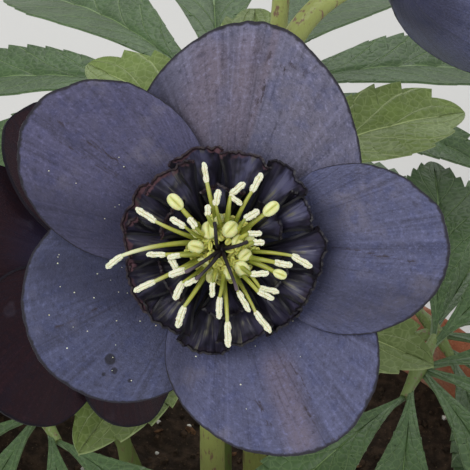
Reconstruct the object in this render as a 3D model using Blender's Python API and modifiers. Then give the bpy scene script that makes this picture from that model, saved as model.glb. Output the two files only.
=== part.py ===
"""Black anemone-centred hellebore growing in a plain terracotta pot.

Run it with blender --background --python part.py, or from Blender's text editor. Metres, +Z up. The origin is the
middle of the pot's foot, and the best bloom looks towards -Y and up.

A bloom is modelled in its own frame, where +Z runs out of its face, and is then moved to its stalk. From the back it
is a receptacle with five sepals, a ring of nectaries, a ring of stamens, and the carpels in the middle of both rings.
"""

import math
import random
from dataclasses import dataclass

import bmesh
import bpy
from mathutils import Matrix, Vector

MM = 0.001
GAP = 0.3 * MM
WELD = 0.001 * MM
SEAT = 0.35 * MM

# The pot, turned clay.
POT_HEIGHT = 150 * MM
POT_FOOT_RADIUS = 56 * MM
POT_RIM_RADIUS = 86 * MM
POT_COLLAR_HEIGHT = 30 * MM
POT_COLLAR_STEP = 4 * MM
POT_WALL = 7 * MM
POT_FLOOR = 9 * MM
POT_STEPS = 36
DRAIN_COUNT = 3
DRAIN_RADIUS = 6 * MM
DRAIN_RING = 32 * MM

# The compost that fills it, and how stems stand in it.
SOIL_TOP = 134 * MM
SOIL_STEPS = 28
SOIL_RINGS = 4
SOIL_LUMP = 2 * MM
PLANTED_DEPTH = 26 * MM
COLLAR_HEIGHT = 7 * MM
HOLE_SIDES = 8

# The receptacle and sepals.
RECEPTACLE_RADIUS = 5.4 * MM
RECEPTACLE_BACK = -1.6 * MM
RECEPTACLE_TOP = 3.2 * MM
SEPAL_THICKNESS = 0.7 * MM
SEPAL_LAYER = 1.2 * MM
SEPAL_FOOT_RADIUS = 4.2 * MM
SEPAL_SPAN = 32 * MM
SEPAL_WAVE = 0.7 * MM

# The ring of nectaries.
NECTARY_RING_INNER = 2 * MM
NECTARY_RING_OUTER = 5 * MM
NECTARY_RING_LOW = RECEPTACLE_TOP + GAP
NECTARY_RING_HIGH = 5.6 * MM
NECTARY_THICKNESS = 0.6 * MM
NECTARY_LAYER = 1 * MM
NECTARY_RISE = 3.9 * MM
NECTARY_SPREAD = 205
INNER_NECTARY_REACH = 0.64
INNER_NECTARY_RISE = 3.2 * MM
INNER_NECTARY_SPREAD = 120

# The ring of stamens.
STAMEN_RING_OUTER = 4.3 * MM
STAMEN_RING_LOW = NECTARY_RING_HIGH + GAP
STAMEN_RING_HIGH = 7.8 * MM
STAMEN_TIP = 11.4 * MM
FILAMENT_RADIUS = 0.36 * MM
ANTHER_RADIUS = 0.78 * MM

# The carpels.
CARPEL_RADIUS = 1.6 * MM
CARPEL_TOP = 10.6 * MM
STYLE_RADIUS = 0.36 * MM
STYLE_ARCH = 4 * MM

# Leaves, and the bracts on the flower stems. A leaflet's half width, fold and arch are shares of its size.
LEAF_THICKNESS = 0.7 * MM
LEAFLET_TEETH = 3
LEAFLET_HALF_WIDTH = 0.145
LEAFLET_FOLD = 0.16
LEAFLET_ARCH = 0.24
LEAF_SPREAD = (0, 37, -37, 74, -74, 110, -110)
LEAF_ARMS = {74: 4.5 * MM, 110: 8 * MM}
LEAF_RING = 21 * MM
PETIOLE_RADIUS = 2 * MM
PETIOLE_LEAN = 0.12
BRACT_LENGTH = 46 * MM
BRACT_HALF_WIDTH = 9.2 * MM
BRACT_LIFT = 0.25
BRACT_SEAT = 1.5 * MM

# Flower stems.
STEM_RING = 8 * MM
STEM_RADIUS = 2.9 * MM
STEM_LEAN = 0.03
BRANCH_RADIUS = 1.8 * MM
STALK_NECK = 4 * MM
BUD_LENGTH = 19 * MM
BUD_GIRTH = 0.4

PARTS = "hellebore_plant"
WORKSHOP = "workshop"

# Linear colour and roughness of each material.
MATERIALS = {
    "terracotta": ((0.50, 0.22, 0.13), 0.9),
    "compost": ((0.045, 0.03, 0.022), 1.0),
    "leaf": ((0.035, 0.10, 0.028), 0.5),
    "stem": ((0.22, 0.24, 0.07), 0.5),
    "sepal": ((0.055, 0.055, 0.095), 0.55),
    "nectary": ((0.022, 0.018, 0.032), 0.4),
    "stamen": ((0.66, 0.68, 0.28), 0.6),
    "carpel": ((0.03, 0.015, 0.03), 0.4),
}


@dataclass
class Sepal:
    """One sepal: its bearing in degrees, the middle and half axes of its oval in mm, and its layer.

    Egg is how much the oval narrows to its tip, and skew is how far its tip leans to one side, in mm.
    """

    bearing: float
    middle: float
    half_length: float
    half_width: float
    layer: int
    egg: float = 0.0
    skew: float = 0.0


@dataclass
class Bloom:
    """A bloom's place and form. Stamens and styles are (bearing, reach) in degrees and mm, with anther lengths."""

    centre: Vector
    facing: Vector
    roll: float
    cup: float
    sepals: tuple
    sepal_grid: tuple
    ruff_radius: float
    nectaries: int
    inner_nectaries: int
    nectary_grid: tuple
    long_stamens: tuple
    short_stamens: int
    young_stamens: int
    styles: tuple
    ring_steps: int

    def frame(self):
        """The matrix that moves the bloom from its own frame to its place."""
        return facing_frame(self.centre, self.facing, self.roll)


@dataclass
class Leaf:
    """A basal leaf: its bearing in degrees, its hub's reach and height, its longest leaflet, and its droop."""

    bearing: float
    reach: float
    height: float
    longest: float
    droop: float


BEST_SEPALS = (
    Sepal(0, 22.2, 15.2, 14.1, 2, egg=0.04),
    Sepal(76.5, 19.4, 18.2, 18.6, 0, egg=0.22, skew=1.4),
    Sepal(144, 22.4, 16.4, 14.0, 2),
    Sepal(207.5, 18.4, 16.4, 16.6, 0),
    Sepal(296.5, 19.8, 16.8, 17.3, 1, egg=0.1, skew=0.8),
)
OTHER_SEPALS = (
    Sepal(8, 18.6, 14.2, 14.6, 2),
    Sepal(82, 18.0, 15.6, 15.8, 0),
    Sepal(150, 18.8, 14.4, 14.2, 2),
    Sepal(221, 17.8, 15.0, 15.6, 0),
    Sepal(296, 18.4, 14.4, 15.0, 1),
)

# Bearing, reach of the anther's foot and length of the anther.
BEST_STAMENS = (
    (103, 10.8, 3.0),
    (62, 10.2, 2.9),
    (40, 9.2, 2.4),
    (355, 11.1, 3.3),
    (345, 8.5, 2.5),
    (337, 9.4, 2.0),
    (312, 8.7, 2.9),
    (298, 11.2, 3.6),
    (290, 7.2, 3.2),
    (274, 11.5, 3.6),
    (266, 7.6, 3.0),
    (237, 10.8, 3.0),
    (220, 8.2, 2.6),
    (205, 11.7, 3.3),
    (184, 15.9, 2.8),
    (185, 9.0, 2.7),
    (157, 11.4, 3.4),
    (135, 9.8, 2.4),
)
BEST_STYLES = ((104, 4.9), (14, 4.3), (291, 6.6), (228, 6.6), (205, 6.8))


def even_stamens(count, near, far):
    """Open stamens spaced evenly round a bloom, that reach near and far by turns."""
    return tuple((360 * (i + 0.4) / count, far if i % 2 else near, 3.0) for i in range(count))


def even_styles(count):
    """Styles spaced evenly round a bloom."""
    return tuple((360 * (i + 0.3) / count, 5.6) for i in range(count))


BLOOMS = {
    "bloom_1": Bloom(
        centre=Vector((0, -75, 345)) * MM,
        facing=Vector((0, -0.643, 0.766)),
        roll=0,
        cup=14,
        sepals=BEST_SEPALS,
        sepal_grid=(3, 10),
        ruff_radius=16.2 * MM,
        nectaries=14,
        inner_nectaries=6,
        nectary_grid=(2, 3),
        long_stamens=BEST_STAMENS,
        short_stamens=5,
        young_stamens=5,
        styles=BEST_STYLES,
        ring_steps=12,
    ),
    "bloom_2": Bloom(
        centre=Vector((-23, -48.3, 308.4)) * MM,
        facing=Vector((-0.71, 0.26, -0.66)),
        roll=61.7,
        cup=18,
        sepals=OTHER_SEPALS,
        sepal_grid=(3, 7),
        ruff_radius=14.5 * MM,
        nectaries=10,
        inner_nectaries=0,
        nectary_grid=(2, 2),
        long_stamens=even_stamens(8, 10.4, 12.2),
        short_stamens=4,
        young_stamens=0,
        styles=even_styles(5),
        ring_steps=12,
    ),
    "bloom_3": Bloom(
        centre=Vector((34, 12, 322)) * MM,
        facing=Vector((0.62, 0.50, -0.35)),
        roll=-10,
        cup=52,
        sepals=OTHER_SEPALS,
        sepal_grid=(3, 6),
        ruff_radius=7.6 * MM,
        nectaries=8,
        inner_nectaries=0,
        nectary_grid=(2, 2),
        long_stamens=even_stamens(5, 6.4, 7.4),
        short_stamens=0,
        young_stamens=0,
        styles=even_styles(3),
        ring_steps=12,
    ),
}
BUD_CENTRE = Vector((2, 40, 330)) * MM
BUD_FACING = Vector((-0.30, 0.45, -0.30))

LEAVES = (
    Leaf(268, 56 * MM, 178 * MM, 78 * MM, 16),
    Leaf(336, 44 * MM, 238 * MM, 84 * MM, 12),
    Leaf(28, 54 * MM, 194 * MM, 84 * MM, 18),
    Leaf(92, 44 * MM, 252 * MM, 86 * MM, 13),
    Leaf(150, 56 * MM, 188 * MM, 80 * MM, 17),
    Leaf(208, 44 * MM, 226 * MM, 84 * MM, 12),
)


def clear_scene():
    """Empties the scene, and makes one collection for the parts and one for shapes in the making."""
    for thing in list(bpy.data.objects):
        bpy.data.objects.remove(thing)
    for name in (PARTS, WORKSHOP):
        collection = bpy.data.collections.new(name)
        bpy.context.scene.collection.children.link(collection)


def material(name):
    """The Principled material of this name, made on first use."""
    if name in bpy.data.materials:
        return bpy.data.materials[name]
    made = bpy.data.materials.new(name)
    made.use_nodes = True
    colour, roughness = MATERIALS[name]
    shader = made.node_tree.nodes["Principled BSDF"]
    shader.inputs["Base Color"].default_value = (*colour, 1)
    shader.inputs["Roughness"].default_value = roughness
    shader.inputs["Metallic"].default_value = 0
    return made


def in_workshop(name, data):
    """A new object in the workshop."""
    made = bpy.data.objects.new(name, data)
    bpy.data.collections[WORKSHOP].objects.link(made)
    return made


def from_bmesh(bm, name):
    """A mesh object from a bmesh."""
    mesh = bpy.data.meshes.new(name)
    bm.to_mesh(mesh)
    bm.free()
    return in_workshop(name, mesh)


def applied(source, name):
    """A mesh object of what a curve or an object's modifiers make, with loose ends welded. It replaces the source."""
    bpy.context.view_layer.update()
    graph = bpy.context.evaluated_depsgraph_get()
    mesh = bpy.data.meshes.new_from_object(source.evaluated_get(graph))
    mesh.transform(source.matrix_world)
    bm = bmesh.new()
    bm.from_mesh(mesh)
    bmesh.ops.remove_doubles(bm, verts=bm.verts, dist=WELD)
    bmesh.ops.recalc_face_normals(bm, faces=bm.faces)
    bpy.data.objects.remove(source)
    return from_bmesh(bm, name)


def drop_folded_slivers(bm):
    """Takes out each pair of triangles that share all their corners, as they enclose nothing."""
    pairs = {}
    for face in bm.faces:
        pairs.setdefault(frozenset(face.verts), []).append(face)
    folded = [face for pair in pairs.values() if len(pair) == 2 for face in pair]
    bmesh.ops.delete(bm, geom=folded, context="FACES")


def turn_shared_diagonals(bm):
    """Where two flat faces were both split along the same two corners, splits the narrower one the other way."""
    bm.normal_update()
    for edge in [edge for edge in bm.edges if len(edge.link_faces) == 4]:
        ear = min(edge.link_faces, key=lambda face: face.calc_area())
        others = [face for face in edge.link_faces if face != ear]
        partner = max(others, key=lambda face: face.normal.dot(ear.normal))
        a = next(loop for loop in ear.loops if loop.edge == edge)
        b, tip = a.link_loop_next.vert, a.link_loop_prev.vert
        far = next(corner for corner in partner.verts if corner not in edge.verts)
        corners = ((tip, a.vert, far), (far, b, tip))
        bmesh.ops.delete(bm, geom=[ear, partner], context="FACES_ONLY")
        for triangle in corners:
            bm.faces.new(triangle)


def combined(first, others, operation, solver):
    """The first body with the others joined to it or cut from it. The others are used up."""
    operands = bpy.data.collections.new("operands")
    bpy.context.scene.collection.children.link(operands)
    for other in others:
        operands.objects.link(other)
    modifier = first.modifiers.new("combine", "BOOLEAN")
    modifier.operation = operation
    modifier.operand_type = "COLLECTION"
    modifier.collection = operands
    modifier.solver = solver
    bpy.context.view_layer.update()
    result = first.evaluated_get(bpy.context.evaluated_depsgraph_get())
    bm = bmesh.new()
    bm.from_mesh(result.data)
    bmesh.ops.triangulate(bm, faces=bm.faces)
    drop_folded_slivers(bm)
    turn_shared_diagonals(bm)
    made = from_bmesh(bm, "body")
    bpy.data.objects.remove(first)
    for other in others:
        bpy.data.objects.remove(other)
    bpy.data.collections.remove(operands)
    return made


def fused(first, others):
    """One body of many crossing blades and tubes."""
    return combined(first, others, "UNION", "MANIFOLD")


def finished(thing, name, colour, frame=None):
    """Makes a closed body the node of this name, moved by the frame if there is one."""
    if frame:
        thing.data.transform(frame)
    bpy.data.collections[WORKSHOP].objects.unlink(thing)
    bpy.data.collections[PARTS].objects.link(thing)
    thing.name = name
    thing.data.name = name
    thing.data.materials.append(material(colour))
    thing.data.shade_smooth()
    thing.data.set_sharp_from_angle(angle=math.radians(40))


def blade(rows, columns, place, thickness):
    """A thin closed blade. place(s, t) is its middle surface: s from foot to tip, t from edge to edge, -1 to 1."""
    bm = bmesh.new()
    bmesh.ops.create_grid(bm, x_segments=rows, y_segments=columns, size=1)
    for corner in bm.verts:
        corner.co = place((corner.co.x + 1) / 2, corner.co.y)
    bmesh.ops.triangulate(bm, faces=bm.faces, quad_method="FIXED")
    surface = from_bmesh(bm, "blade")
    solidify = surface.modifiers.new("thickness", "SOLIDIFY")
    solidify.thickness = thickness
    solidify.offset = 0
    return applied(surface, "blade")


def tube(points, radii, sides):
    """A closed tube along the points, with a radius at each and 4, 6 or 8 sides."""
    curve = bpy.data.curves.new("tube", "CURVE")
    curve.dimensions = "3D"
    curve.bevel_depth = 1
    curve.bevel_resolution = (sides - 4) // 2
    curve.use_fill_caps = True
    line = curve.splines.new("POLY")
    line.points.add(len(points) - 1)
    for point, place, radius in zip(line.points, points, radii):
        point.co = (*place, 1)
        point.radius = radius
    return applied(in_workshop("tube", curve), "tube")


def bezier(p0, p1, p2, p3, count):
    """Points along a cubic curve, in count steps, both ends included."""
    points = []
    for i in range(count + 1):
        t = i / count
        points.append(p0 * (1 - t) ** 3 + p1 * 3 * t * (1 - t) ** 2 + p2 * 3 * t * t * (1 - t) + p3 * t**3)
    return points


def turned(profile, steps):
    """A body turned round Z from (radius, height) points that run down its outside."""
    bm = bmesh.new()
    corners = [bm.verts.new((radius, 0, height)) for radius, height in profile]
    for a, b in zip(corners, corners[1:]):
        bm.edges.new((a, b))
    outline = from_bmesh(bm, "turned")
    screw = outline.modifiers.new("turn", "SCREW")
    screw.steps = steps
    screw.render_steps = steps
    screw.use_merge_vertices = True
    screw.merge_threshold = WELD
    return applied(outline, "turned")


def ring(outer, low, high, steps):
    """A turned ring with a round outer shoulder, open in the middle for the carpels."""
    inner = NECTARY_RING_INNER
    profile = [(inner, high), (outer * 0.8, high), (outer, (low + high) / 2), (outer * 0.9, low), (inner, low)]
    return turned(profile + profile[:1], steps)


def rod(start, end, radius, sides):
    """A closed cylinder between two points."""
    bm = bmesh.new()
    bmesh.ops.create_cone(
        bm, cap_ends=True, segments=sides, radius1=radius, radius2=radius, depth=(end - start).length
    )
    turn = (end - start).to_track_quat("Z", "Y").to_matrix().to_4x4()
    bm.transform(Matrix.Translation((start + end) / 2) @ turn)
    return from_bmesh(bm, "rod")


def ball(centre, stretch, turn, rings, segments):
    """A closed ball, stretched along its own axes and then turned."""
    bm = bmesh.new()
    bmesh.ops.create_uvsphere(bm, u_segments=segments, v_segments=rings, radius=1)
    bm.transform(Matrix.Translation(centre) @ turn.to_4x4() @ Matrix.Diagonal((*stretch, 1)))
    return from_bmesh(bm, "ball")


def polar(bearing, reach, height=0.0):
    """A point from a bearing in degrees, a distance from the Z axis and a height."""
    angle = math.radians(bearing)
    return Vector((reach * math.cos(angle), reach * math.sin(angle), height))


def facing_frame(centre, facing, roll):
    """The matrix that moves a shape to this centre, with its +Z along facing and its +Y as far up as it can be."""
    out = facing.normalized()
    across = Vector((0, 0, 1)).cross(out).normalized()
    up = out.cross(across)
    turn = Matrix((across, up, out)).transposed() @ Matrix.Rotation(math.radians(roll), 3, "Z")
    return Matrix.Translation(centre) @ turn.to_4x4()


def sepal_profile(flat_reach, cup, layer):
    """Reach and height of a sepal's middle surface, flat_reach away from the axis before it is cupped."""
    run = max(0.0, flat_reach - RECEPTACLE_RADIUS)
    slope = math.radians(cup) * (run / SEPAL_SPAN) ** 0.25
    lift = layer * SEPAL_LAYER
    reach = min(flat_reach, RECEPTACLE_RADIUS) + run * math.cos(slope) - lift * math.sin(slope)
    return reach, run * math.sin(slope) + lift * math.cos(slope)


def sepal_place(sepal, cup):
    """The middle surface of one sepal: rays from a narrow foot out to an oval edge."""
    widest_turn = math.acos(-sepal.half_length / sepal.middle)

    def place(s, t):
        foot = Vector((math.cos(t), math.sin(t))) * SEPAL_FOOT_RADIUS
        forward, sideways = math.cos(t * widest_turn), math.sin(t * widest_turn)
        along = sepal.middle + sepal.half_length * forward
        across = sepal.half_width * sideways * (1 - sepal.egg * forward) + sepal.skew * forward
        flat = foot.lerp(Vector((along, across)) * MM, s**1.4)
        bearing = math.radians(sepal.bearing) + math.atan2(flat.y, flat.x)
        reach, height = sepal_profile(flat.length, cup, sepal.layer)
        wave = SEPAL_WAVE * (reach / SEPAL_SPAN) ** 2 * math.sin(7 * bearing + 1)
        return Vector((reach * math.cos(bearing), reach * math.sin(bearing), height + wave))

    return place


def make_sepals(name, bloom):
    """Five overlapping sepals and the receptacle that carries them."""
    profile = [
        (0, RECEPTACLE_TOP),
        (RECEPTACLE_RADIUS * 0.85, RECEPTACLE_TOP),
        (RECEPTACLE_RADIUS, RECEPTACLE_TOP - 0.6 * MM),
        (RECEPTACLE_RADIUS, 0),
        (RECEPTACLE_RADIUS * 0.55, RECEPTACLE_BACK),
        (0, RECEPTACLE_BACK),
    ]
    receptacle = turned(profile, bloom.ring_steps)
    blades = [blade(*bloom.sepal_grid, sepal_place(sepal, bloom.cup), SEPAL_THICKNESS) for sepal in bloom.sepals]
    finished(fused(receptacle, blades), name, "sepal", bloom.frame())


def nectary_place(bearing, half_angle, foot_height, rim_reach, rim_height):
    """The middle surface of one petal-like nectary: a scoop that flares to a rounded, ruffled rim."""
    foot_reach = (NECTARY_RING_INNER + NECTARY_RING_OUTER) / 2

    def place(s, t):
        turn = bearing + t * half_angle * (0.4 + 0.6 * s)
        reach = foot_reach + (rim_reach - foot_reach) * s * (1 - 0.13 * t * t * s)
        curl = s * (0.5 * t * t + 0.06 * math.sin(4 * t + bearing)) * MM
        return polar(turn, reach, foot_height + (rim_height - foot_height) * s**1.2 + curl)

    return place


def make_nectaries(name, bloom):
    """The ruff: an outer row of nectaries in two layers and a shorter inner row, on one ring."""
    draw = random.Random(3)
    body = ring(NECTARY_RING_OUTER, NECTARY_RING_LOW, NECTARY_RING_HIGH, bloom.ring_steps)
    rows, columns = bloom.nectary_grid
    blades = []
    for i in range(bloom.nectaries):
        bearing = 360 * i / bloom.nectaries + draw.uniform(-2.5, 2.5)
        foot = NECTARY_RING_LOW + SEAT + (i % 2) * NECTARY_LAYER
        reach = bloom.ruff_radius * draw.uniform(0.95, 1.04)
        place = nectary_place(bearing, NECTARY_SPREAD / bloom.nectaries, foot, reach, foot + NECTARY_RISE)
        blades.append(blade(rows, columns, place, NECTARY_THICKNESS))
    for i in range(bloom.inner_nectaries):
        bearing = 360 * (i + 0.5) / bloom.inner_nectaries + draw.uniform(-4, 4)
        foot = NECTARY_RING_HIGH - SEAT
        reach = bloom.ruff_radius * INNER_NECTARY_REACH * draw.uniform(0.95, 1.05)
        half_angle = INNER_NECTARY_SPREAD / bloom.inner_nectaries
        place = nectary_place(bearing, half_angle, foot, reach, foot + INNER_NECTARY_RISE)
        blades.append(blade(2, 2, place, NECTARY_THICKNESS))
    finished(fused(body, blades), name, "nectary", bloom.frame())


def stamen(bearing, reach, anther_length, tip_height):
    """A filament that arches out from the ring and swells into its anther, in one tube."""
    points = [
        polar(bearing, STAMEN_RING_OUTER * 0.75, STAMEN_RING_HIGH - 1.2 * MM),
        polar(bearing, STAMEN_RING_OUTER + 0.1 * reach, tip_height - 1 * MM),
        polar(bearing, reach, tip_height),
        polar(bearing, reach + anther_length * 0.45, tip_height + 0.1 * MM),
        polar(bearing, reach + anther_length, tip_height - 0.3 * MM),
    ]
    return tube(points, [FILAMENT_RADIUS] * 3 + [ANTHER_RADIUS, ANTHER_RADIUS * 0.6], 4)


def make_stamens(name, bloom):
    """Open stamens round the outside and young ones within, on a ring that is open for the carpels."""
    draw = random.Random(5)
    body = ring(STAMEN_RING_OUTER, STAMEN_RING_LOW, STAMEN_RING_HIGH, bloom.ring_steps)
    pieces = []
    for i, (bearing, reach, anther_length) in enumerate(bloom.long_stamens):
        pieces.append(stamen(bearing, reach * MM, anther_length * MM, STAMEN_TIP + (i % 3) * 0.5 * MM))
    for i in range(bloom.short_stamens):
        bearing = 360 * (i + 0.5) / bloom.short_stamens + draw.uniform(-6, 6)
        pieces.append(stamen(bearing, draw.uniform(5.2, 6.6) * MM, 2.1 * MM, STAMEN_TIP + 1.6 * MM))
    for i in range(bloom.young_stamens):
        bearing = 360 * i / bloom.young_stamens + draw.uniform(-5, 5)
        centre = polar(bearing, 3.1 * MM, STAMEN_RING_HIGH + 0.7 * MM)
        turn = Matrix.Rotation(math.radians(bearing), 3, "Z") @ Matrix.Rotation(0.5, 3, "Y")
        pieces.append(ball(centre, (0.8 * MM, 1.05 * MM, 1.7 * MM), turn, 3, 6))
    finished(fused(body, pieces), name, "stamen", bloom.frame())


def make_carpels(name, bloom):
    """The joined carpels in the middle, each with a dark style that arches out and down."""
    profile = [
        (0, CARPEL_TOP),
        (CARPEL_RADIUS * 0.45, CARPEL_TOP - 0.5 * MM),
        (CARPEL_RADIUS, STAMEN_RING_LOW),
        (CARPEL_RADIUS, NECTARY_RING_LOW),
        (0, NECTARY_RING_LOW),
    ]
    arms = []
    for bearing, reach in bloom.styles:
        root = polar(bearing, SEAT, CARPEL_TOP - 1.6 * MM)
        top = polar(bearing, 1.2 * MM, CARPEL_TOP + STYLE_ARCH * 0.9)
        knee = polar(bearing, reach * MM * 0.7, CARPEL_TOP + STYLE_ARCH * 1.1)
        tip = polar(bearing, reach * MM, CARPEL_TOP + STYLE_ARCH * 0.8)
        arms.append(tube(bezier(root, top, knee, tip, 4), [STYLE_RADIUS] * 5, 4))
    finished(fused(turned(profile, 8), arms), name, "carpel", bloom.frame())


def make_bloom(name, bloom):
    """The four nested bodies of one bloom."""
    make_sepals(name + "_sepals", bloom)
    make_nectaries(name + "_nectaries", bloom)
    make_stamens(name + "_stamens", bloom)
    make_carpels(name + "_carpels", bloom)


def make_bud(name, frame):
    """A closed bud, with a shallow furrow where each of its five sepals overlaps the next."""
    bm = bmesh.new()
    bmesh.ops.create_uvsphere(bm, u_segments=15, v_segments=7, radius=1)
    for corner in bm.verts:
        lobe = math.cos(5 * math.atan2(corner.co.y, corner.co.x))
        girth = BUD_GIRTH * BUD_LENGTH * (1 - 0.06 * lobe) * (1 - 0.22 * corner.co.z)
        corner.co = Vector((corner.co.x * girth, corner.co.y * girth, (corner.co.z + 1) * BUD_LENGTH / 2))
    finished(from_bmesh(bm, name), name, "sepal", frame)


def leaflet(foot, along, normal, length, half_width):
    """One leaflet: a toothed lance-shaped blade, folded up a little along its midrib and arched to its tip."""
    side = normal.cross(along).normalized()
    rows = 2 * LEAFLET_TEETH

    def place(s, t):
        is_tooth = round(s * rows) % 2
        width = half_width * math.sin(math.pi * s**1.6) * (1.08 if is_tooth else 0.86) + LEAF_THICKNESS
        reach = length * s + is_tooth * abs(t) * 0.3 * length / rows
        rise = length * LEAFLET_ARCH * (s - 1.6 * s * s) + LEAFLET_FOLD * width * abs(t)
        return foot + along * reach + normal * rise + side * (width * t)

    return blade(rows, 2, place, LEAF_THICKNESS)


def leaf_hand(hub, forward, normal, longest):
    """Toothed leaflets that spread from a hub, with the short arms that carry the outer ones."""
    side = normal.cross(forward).normalized()
    longest_arm = max(LEAF_ARMS.values()) + 0.6 * MM
    pieces = [
        ball(hub, (2.6 * MM,) * 3, Matrix.Identity(3), 4, 6),
        rod(hub - side * longest_arm, hub + side * longest_arm, 1.1 * MM, 6),
    ]
    for angle in LEAF_SPREAD:
        turn = math.radians(angle)
        along = forward * math.cos(turn) + side * math.sin(turn)
        foot = hub + side * math.copysign(LEAF_ARMS.get(abs(angle), 0.0), angle)
        length = longest * (1 - 0.38 * abs(angle / LEAF_SPREAD[-1]) ** 1.6)
        pieces.append(leaflet(foot, along, normal, length, LEAFLET_HALF_WIDTH * length))
    return pieces


def planted(bearing, spacing, lean):
    """The straight foot of a stem: its lowest point, its collar just above the soil, and the way that it points."""
    outward = polar(bearing, 1)
    rise = (Vector((0, 0, 1)) + outward * lean).normalized()
    ground = outward * spacing + Vector((0, 0, SOIL_TOP))
    return ground - rise * PLANTED_DEPTH, ground + rise * COLLAR_HEIGHT, rise


def planting_hole(foot, collar, radius):
    """The cutter of the plain hole that a stem stands in."""
    rise = (collar - foot).normalized()
    cutter_radius = (radius + GAP) / math.cos(math.pi / HOLE_SIDES)
    return rod(foot - rise * GAP, collar + rise * COLLAR_HEIGHT, cutter_radius, HOLE_SIDES)


def tapered(radius, count, share):
    """Radii that shrink evenly by this share from the first to the last."""
    return [radius * (1 - share * i / (count - 1)) for i in range(count)]


def make_leaf(name, leaf):
    """A basal leaf: its stalk and a hand of toothed leaflets. Returns the cutter of its hole in the soil."""
    outward = polar(leaf.bearing, 1)
    foot, collar, rise = planted(leaf.bearing, LEAF_RING, PETIOLE_LEAN)
    hub = outward * leaf.reach + Vector((0, 0, leaf.height))
    droop = math.radians(leaf.droop)
    forward = outward * math.cos(droop) - Vector((0, 0, math.sin(droop)))
    normal = outward * math.sin(droop) + Vector((0, 0, math.cos(droop)))
    span = (hub - collar).length
    path = [foot] + bezier(collar, collar + rise * 0.5 * span, hub - forward * 0.3 * span, hub, 5)
    stalk = tube(path, tapered(PETIOLE_RADIUS, len(path), 0.3), 6)
    finished(fused(stalk, leaf_hand(hub, forward, normal, leaf.longest)), name, "leaf")
    return planting_hole(foot, collar, PETIOLE_RADIUS)


def bracts(point, bearings):
    """Toothed leafy bracts that clasp a flower stem at this point."""
    pieces = []
    for bearing in bearings:
        forward = (polar(bearing, 1) + Vector((0, 0, BRACT_LIFT))).normalized()
        normal = (Vector((0, 0, 1)) - forward * forward.z).normalized()
        pieces.append(leaflet(point - forward * BRACT_SEAT, forward, normal, BRACT_LENGTH, BRACT_HALF_WIDTH))
    return pieces


def stalk_end(frame, back):
    """Where a stalk ends behind a bloom or bud, and the way that it points there."""
    return frame @ Vector((0, 0, back - GAP)), (frame.to_3x3() @ Vector((0, 0, 1))).normalized()


def make_stem(name, bearing, main_end, side_end, fork, bract_bearings):
    """A flower stem with a branch at the fork, among bracts. Returns the cutter of its hole in the soil."""
    foot, collar, rise = planted(bearing, STEM_RING, STEM_LEAN)
    tip, facing = main_end
    span = (tip - collar).length
    neck = tip - facing * STALK_NECK
    path = [foot] + bezier(collar, collar + rise * 0.55 * span, neck - facing * 0.26 * span, neck, 8) + [tip]
    stem = tube(path, tapered(STEM_RADIUS, len(path), 0.35), 8)
    side_tip, side_facing = side_end
    root = path[fork]
    along = (path[fork + 1] - root).normalized()
    reach = (side_tip - root).length
    neck = side_tip - side_facing * STALK_NECK
    bend = bezier(root, root + along * 0.4 * reach, neck - side_facing * 0.4 * reach, neck, 5) + [side_tip]
    branch = tube(bend, [BRANCH_RADIUS] * len(bend), 6)
    finished(fused(stem, [branch] + bracts(root, bract_bearings)), name, "stem")
    return planting_hole(foot, collar, STEM_RADIUS)


def make_pot():
    """The pot: a tapered wall, a collar at the rim, and a floor with drain holes."""
    inner_rim = POT_RIM_RADIUS - POT_WALL
    under_collar = POT_HEIGHT - POT_COLLAR_HEIGHT
    wall_top = POT_RIM_RADIUS - POT_COLLAR_STEP
    profile = [
        (0, POT_FLOOR),
        (POT_FOOT_RADIUS - POT_WALL, POT_FLOOR),
        (inner_rim - 1 * MM, POT_HEIGHT - 3 * MM),
        (inner_rim + 1 * MM, POT_HEIGHT),
        (POT_RIM_RADIUS - 1.5 * MM, POT_HEIGHT),
        (POT_RIM_RADIUS, POT_HEIGHT - 2 * MM),
        (POT_RIM_RADIUS - 1 * MM, under_collar + 1 * MM),
        (wall_top - 2 * MM, under_collar - 1 * MM),
        (POT_FOOT_RADIUS + 1 * MM, 2 * MM),
        (POT_FOOT_RADIUS - 1 * MM, 0),
        (0, 0),
    ]
    drains = []
    for i in range(DRAIN_COUNT):
        low = polar(30 + 360 * i / DRAIN_COUNT, DRAIN_RING, -5 * MM)
        drains.append(rod(low, low + Vector((0, 0, POT_FLOOR + 10 * MM)), DRAIN_RADIUS, 12))
    pot = combined(turned(profile, POT_STEPS), drains, "DIFFERENCE", "EXACT")
    finished(pot, "pot", "terracotta")


def pot_inner_radius(height):
    """The radius of the pot's inside at this height."""
    low, high = POT_FOOT_RADIUS - POT_WALL, POT_RIM_RADIUS - POT_WALL - 1 * MM
    return low + (high - low) * (height - POT_FLOOR) / (POT_HEIGHT - 3 * MM - POT_FLOOR)


def make_soil(holes):
    """The compost: a plug that fills the pot, lumpy on top, with a plain hole for each stem."""
    clearance = 2 * GAP
    top_radius = pot_inner_radius(SOIL_TOP) - clearance
    bottom = POT_FLOOR + GAP
    profile = [(top_radius * i / SOIL_RINGS, SOIL_TOP) for i in range(SOIL_RINGS + 1)]
    profile += [(pot_inner_radius(bottom) - clearance, bottom), (0, bottom)]
    plug = turned(profile, SOIL_STEPS)
    for corner in plug.data.vertices:
        x, y = corner.co.x / MM, corner.co.y / MM
        inside = 1 - (math.hypot(x, y) * MM / top_radius) ** 4
        if corner.co.z > SOIL_TOP - MM:
            lumps = math.sin(x / 5.1) * math.cos(y / 6.3) + 0.6 * math.sin((x + y) / 3.4)
            corner.co.z += inside * (SOIL_LUMP * lumps + 2 * MM)
    finished(combined(plug, holes, "DIFFERENCE", "EXACT"), "soil", "compost")


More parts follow.
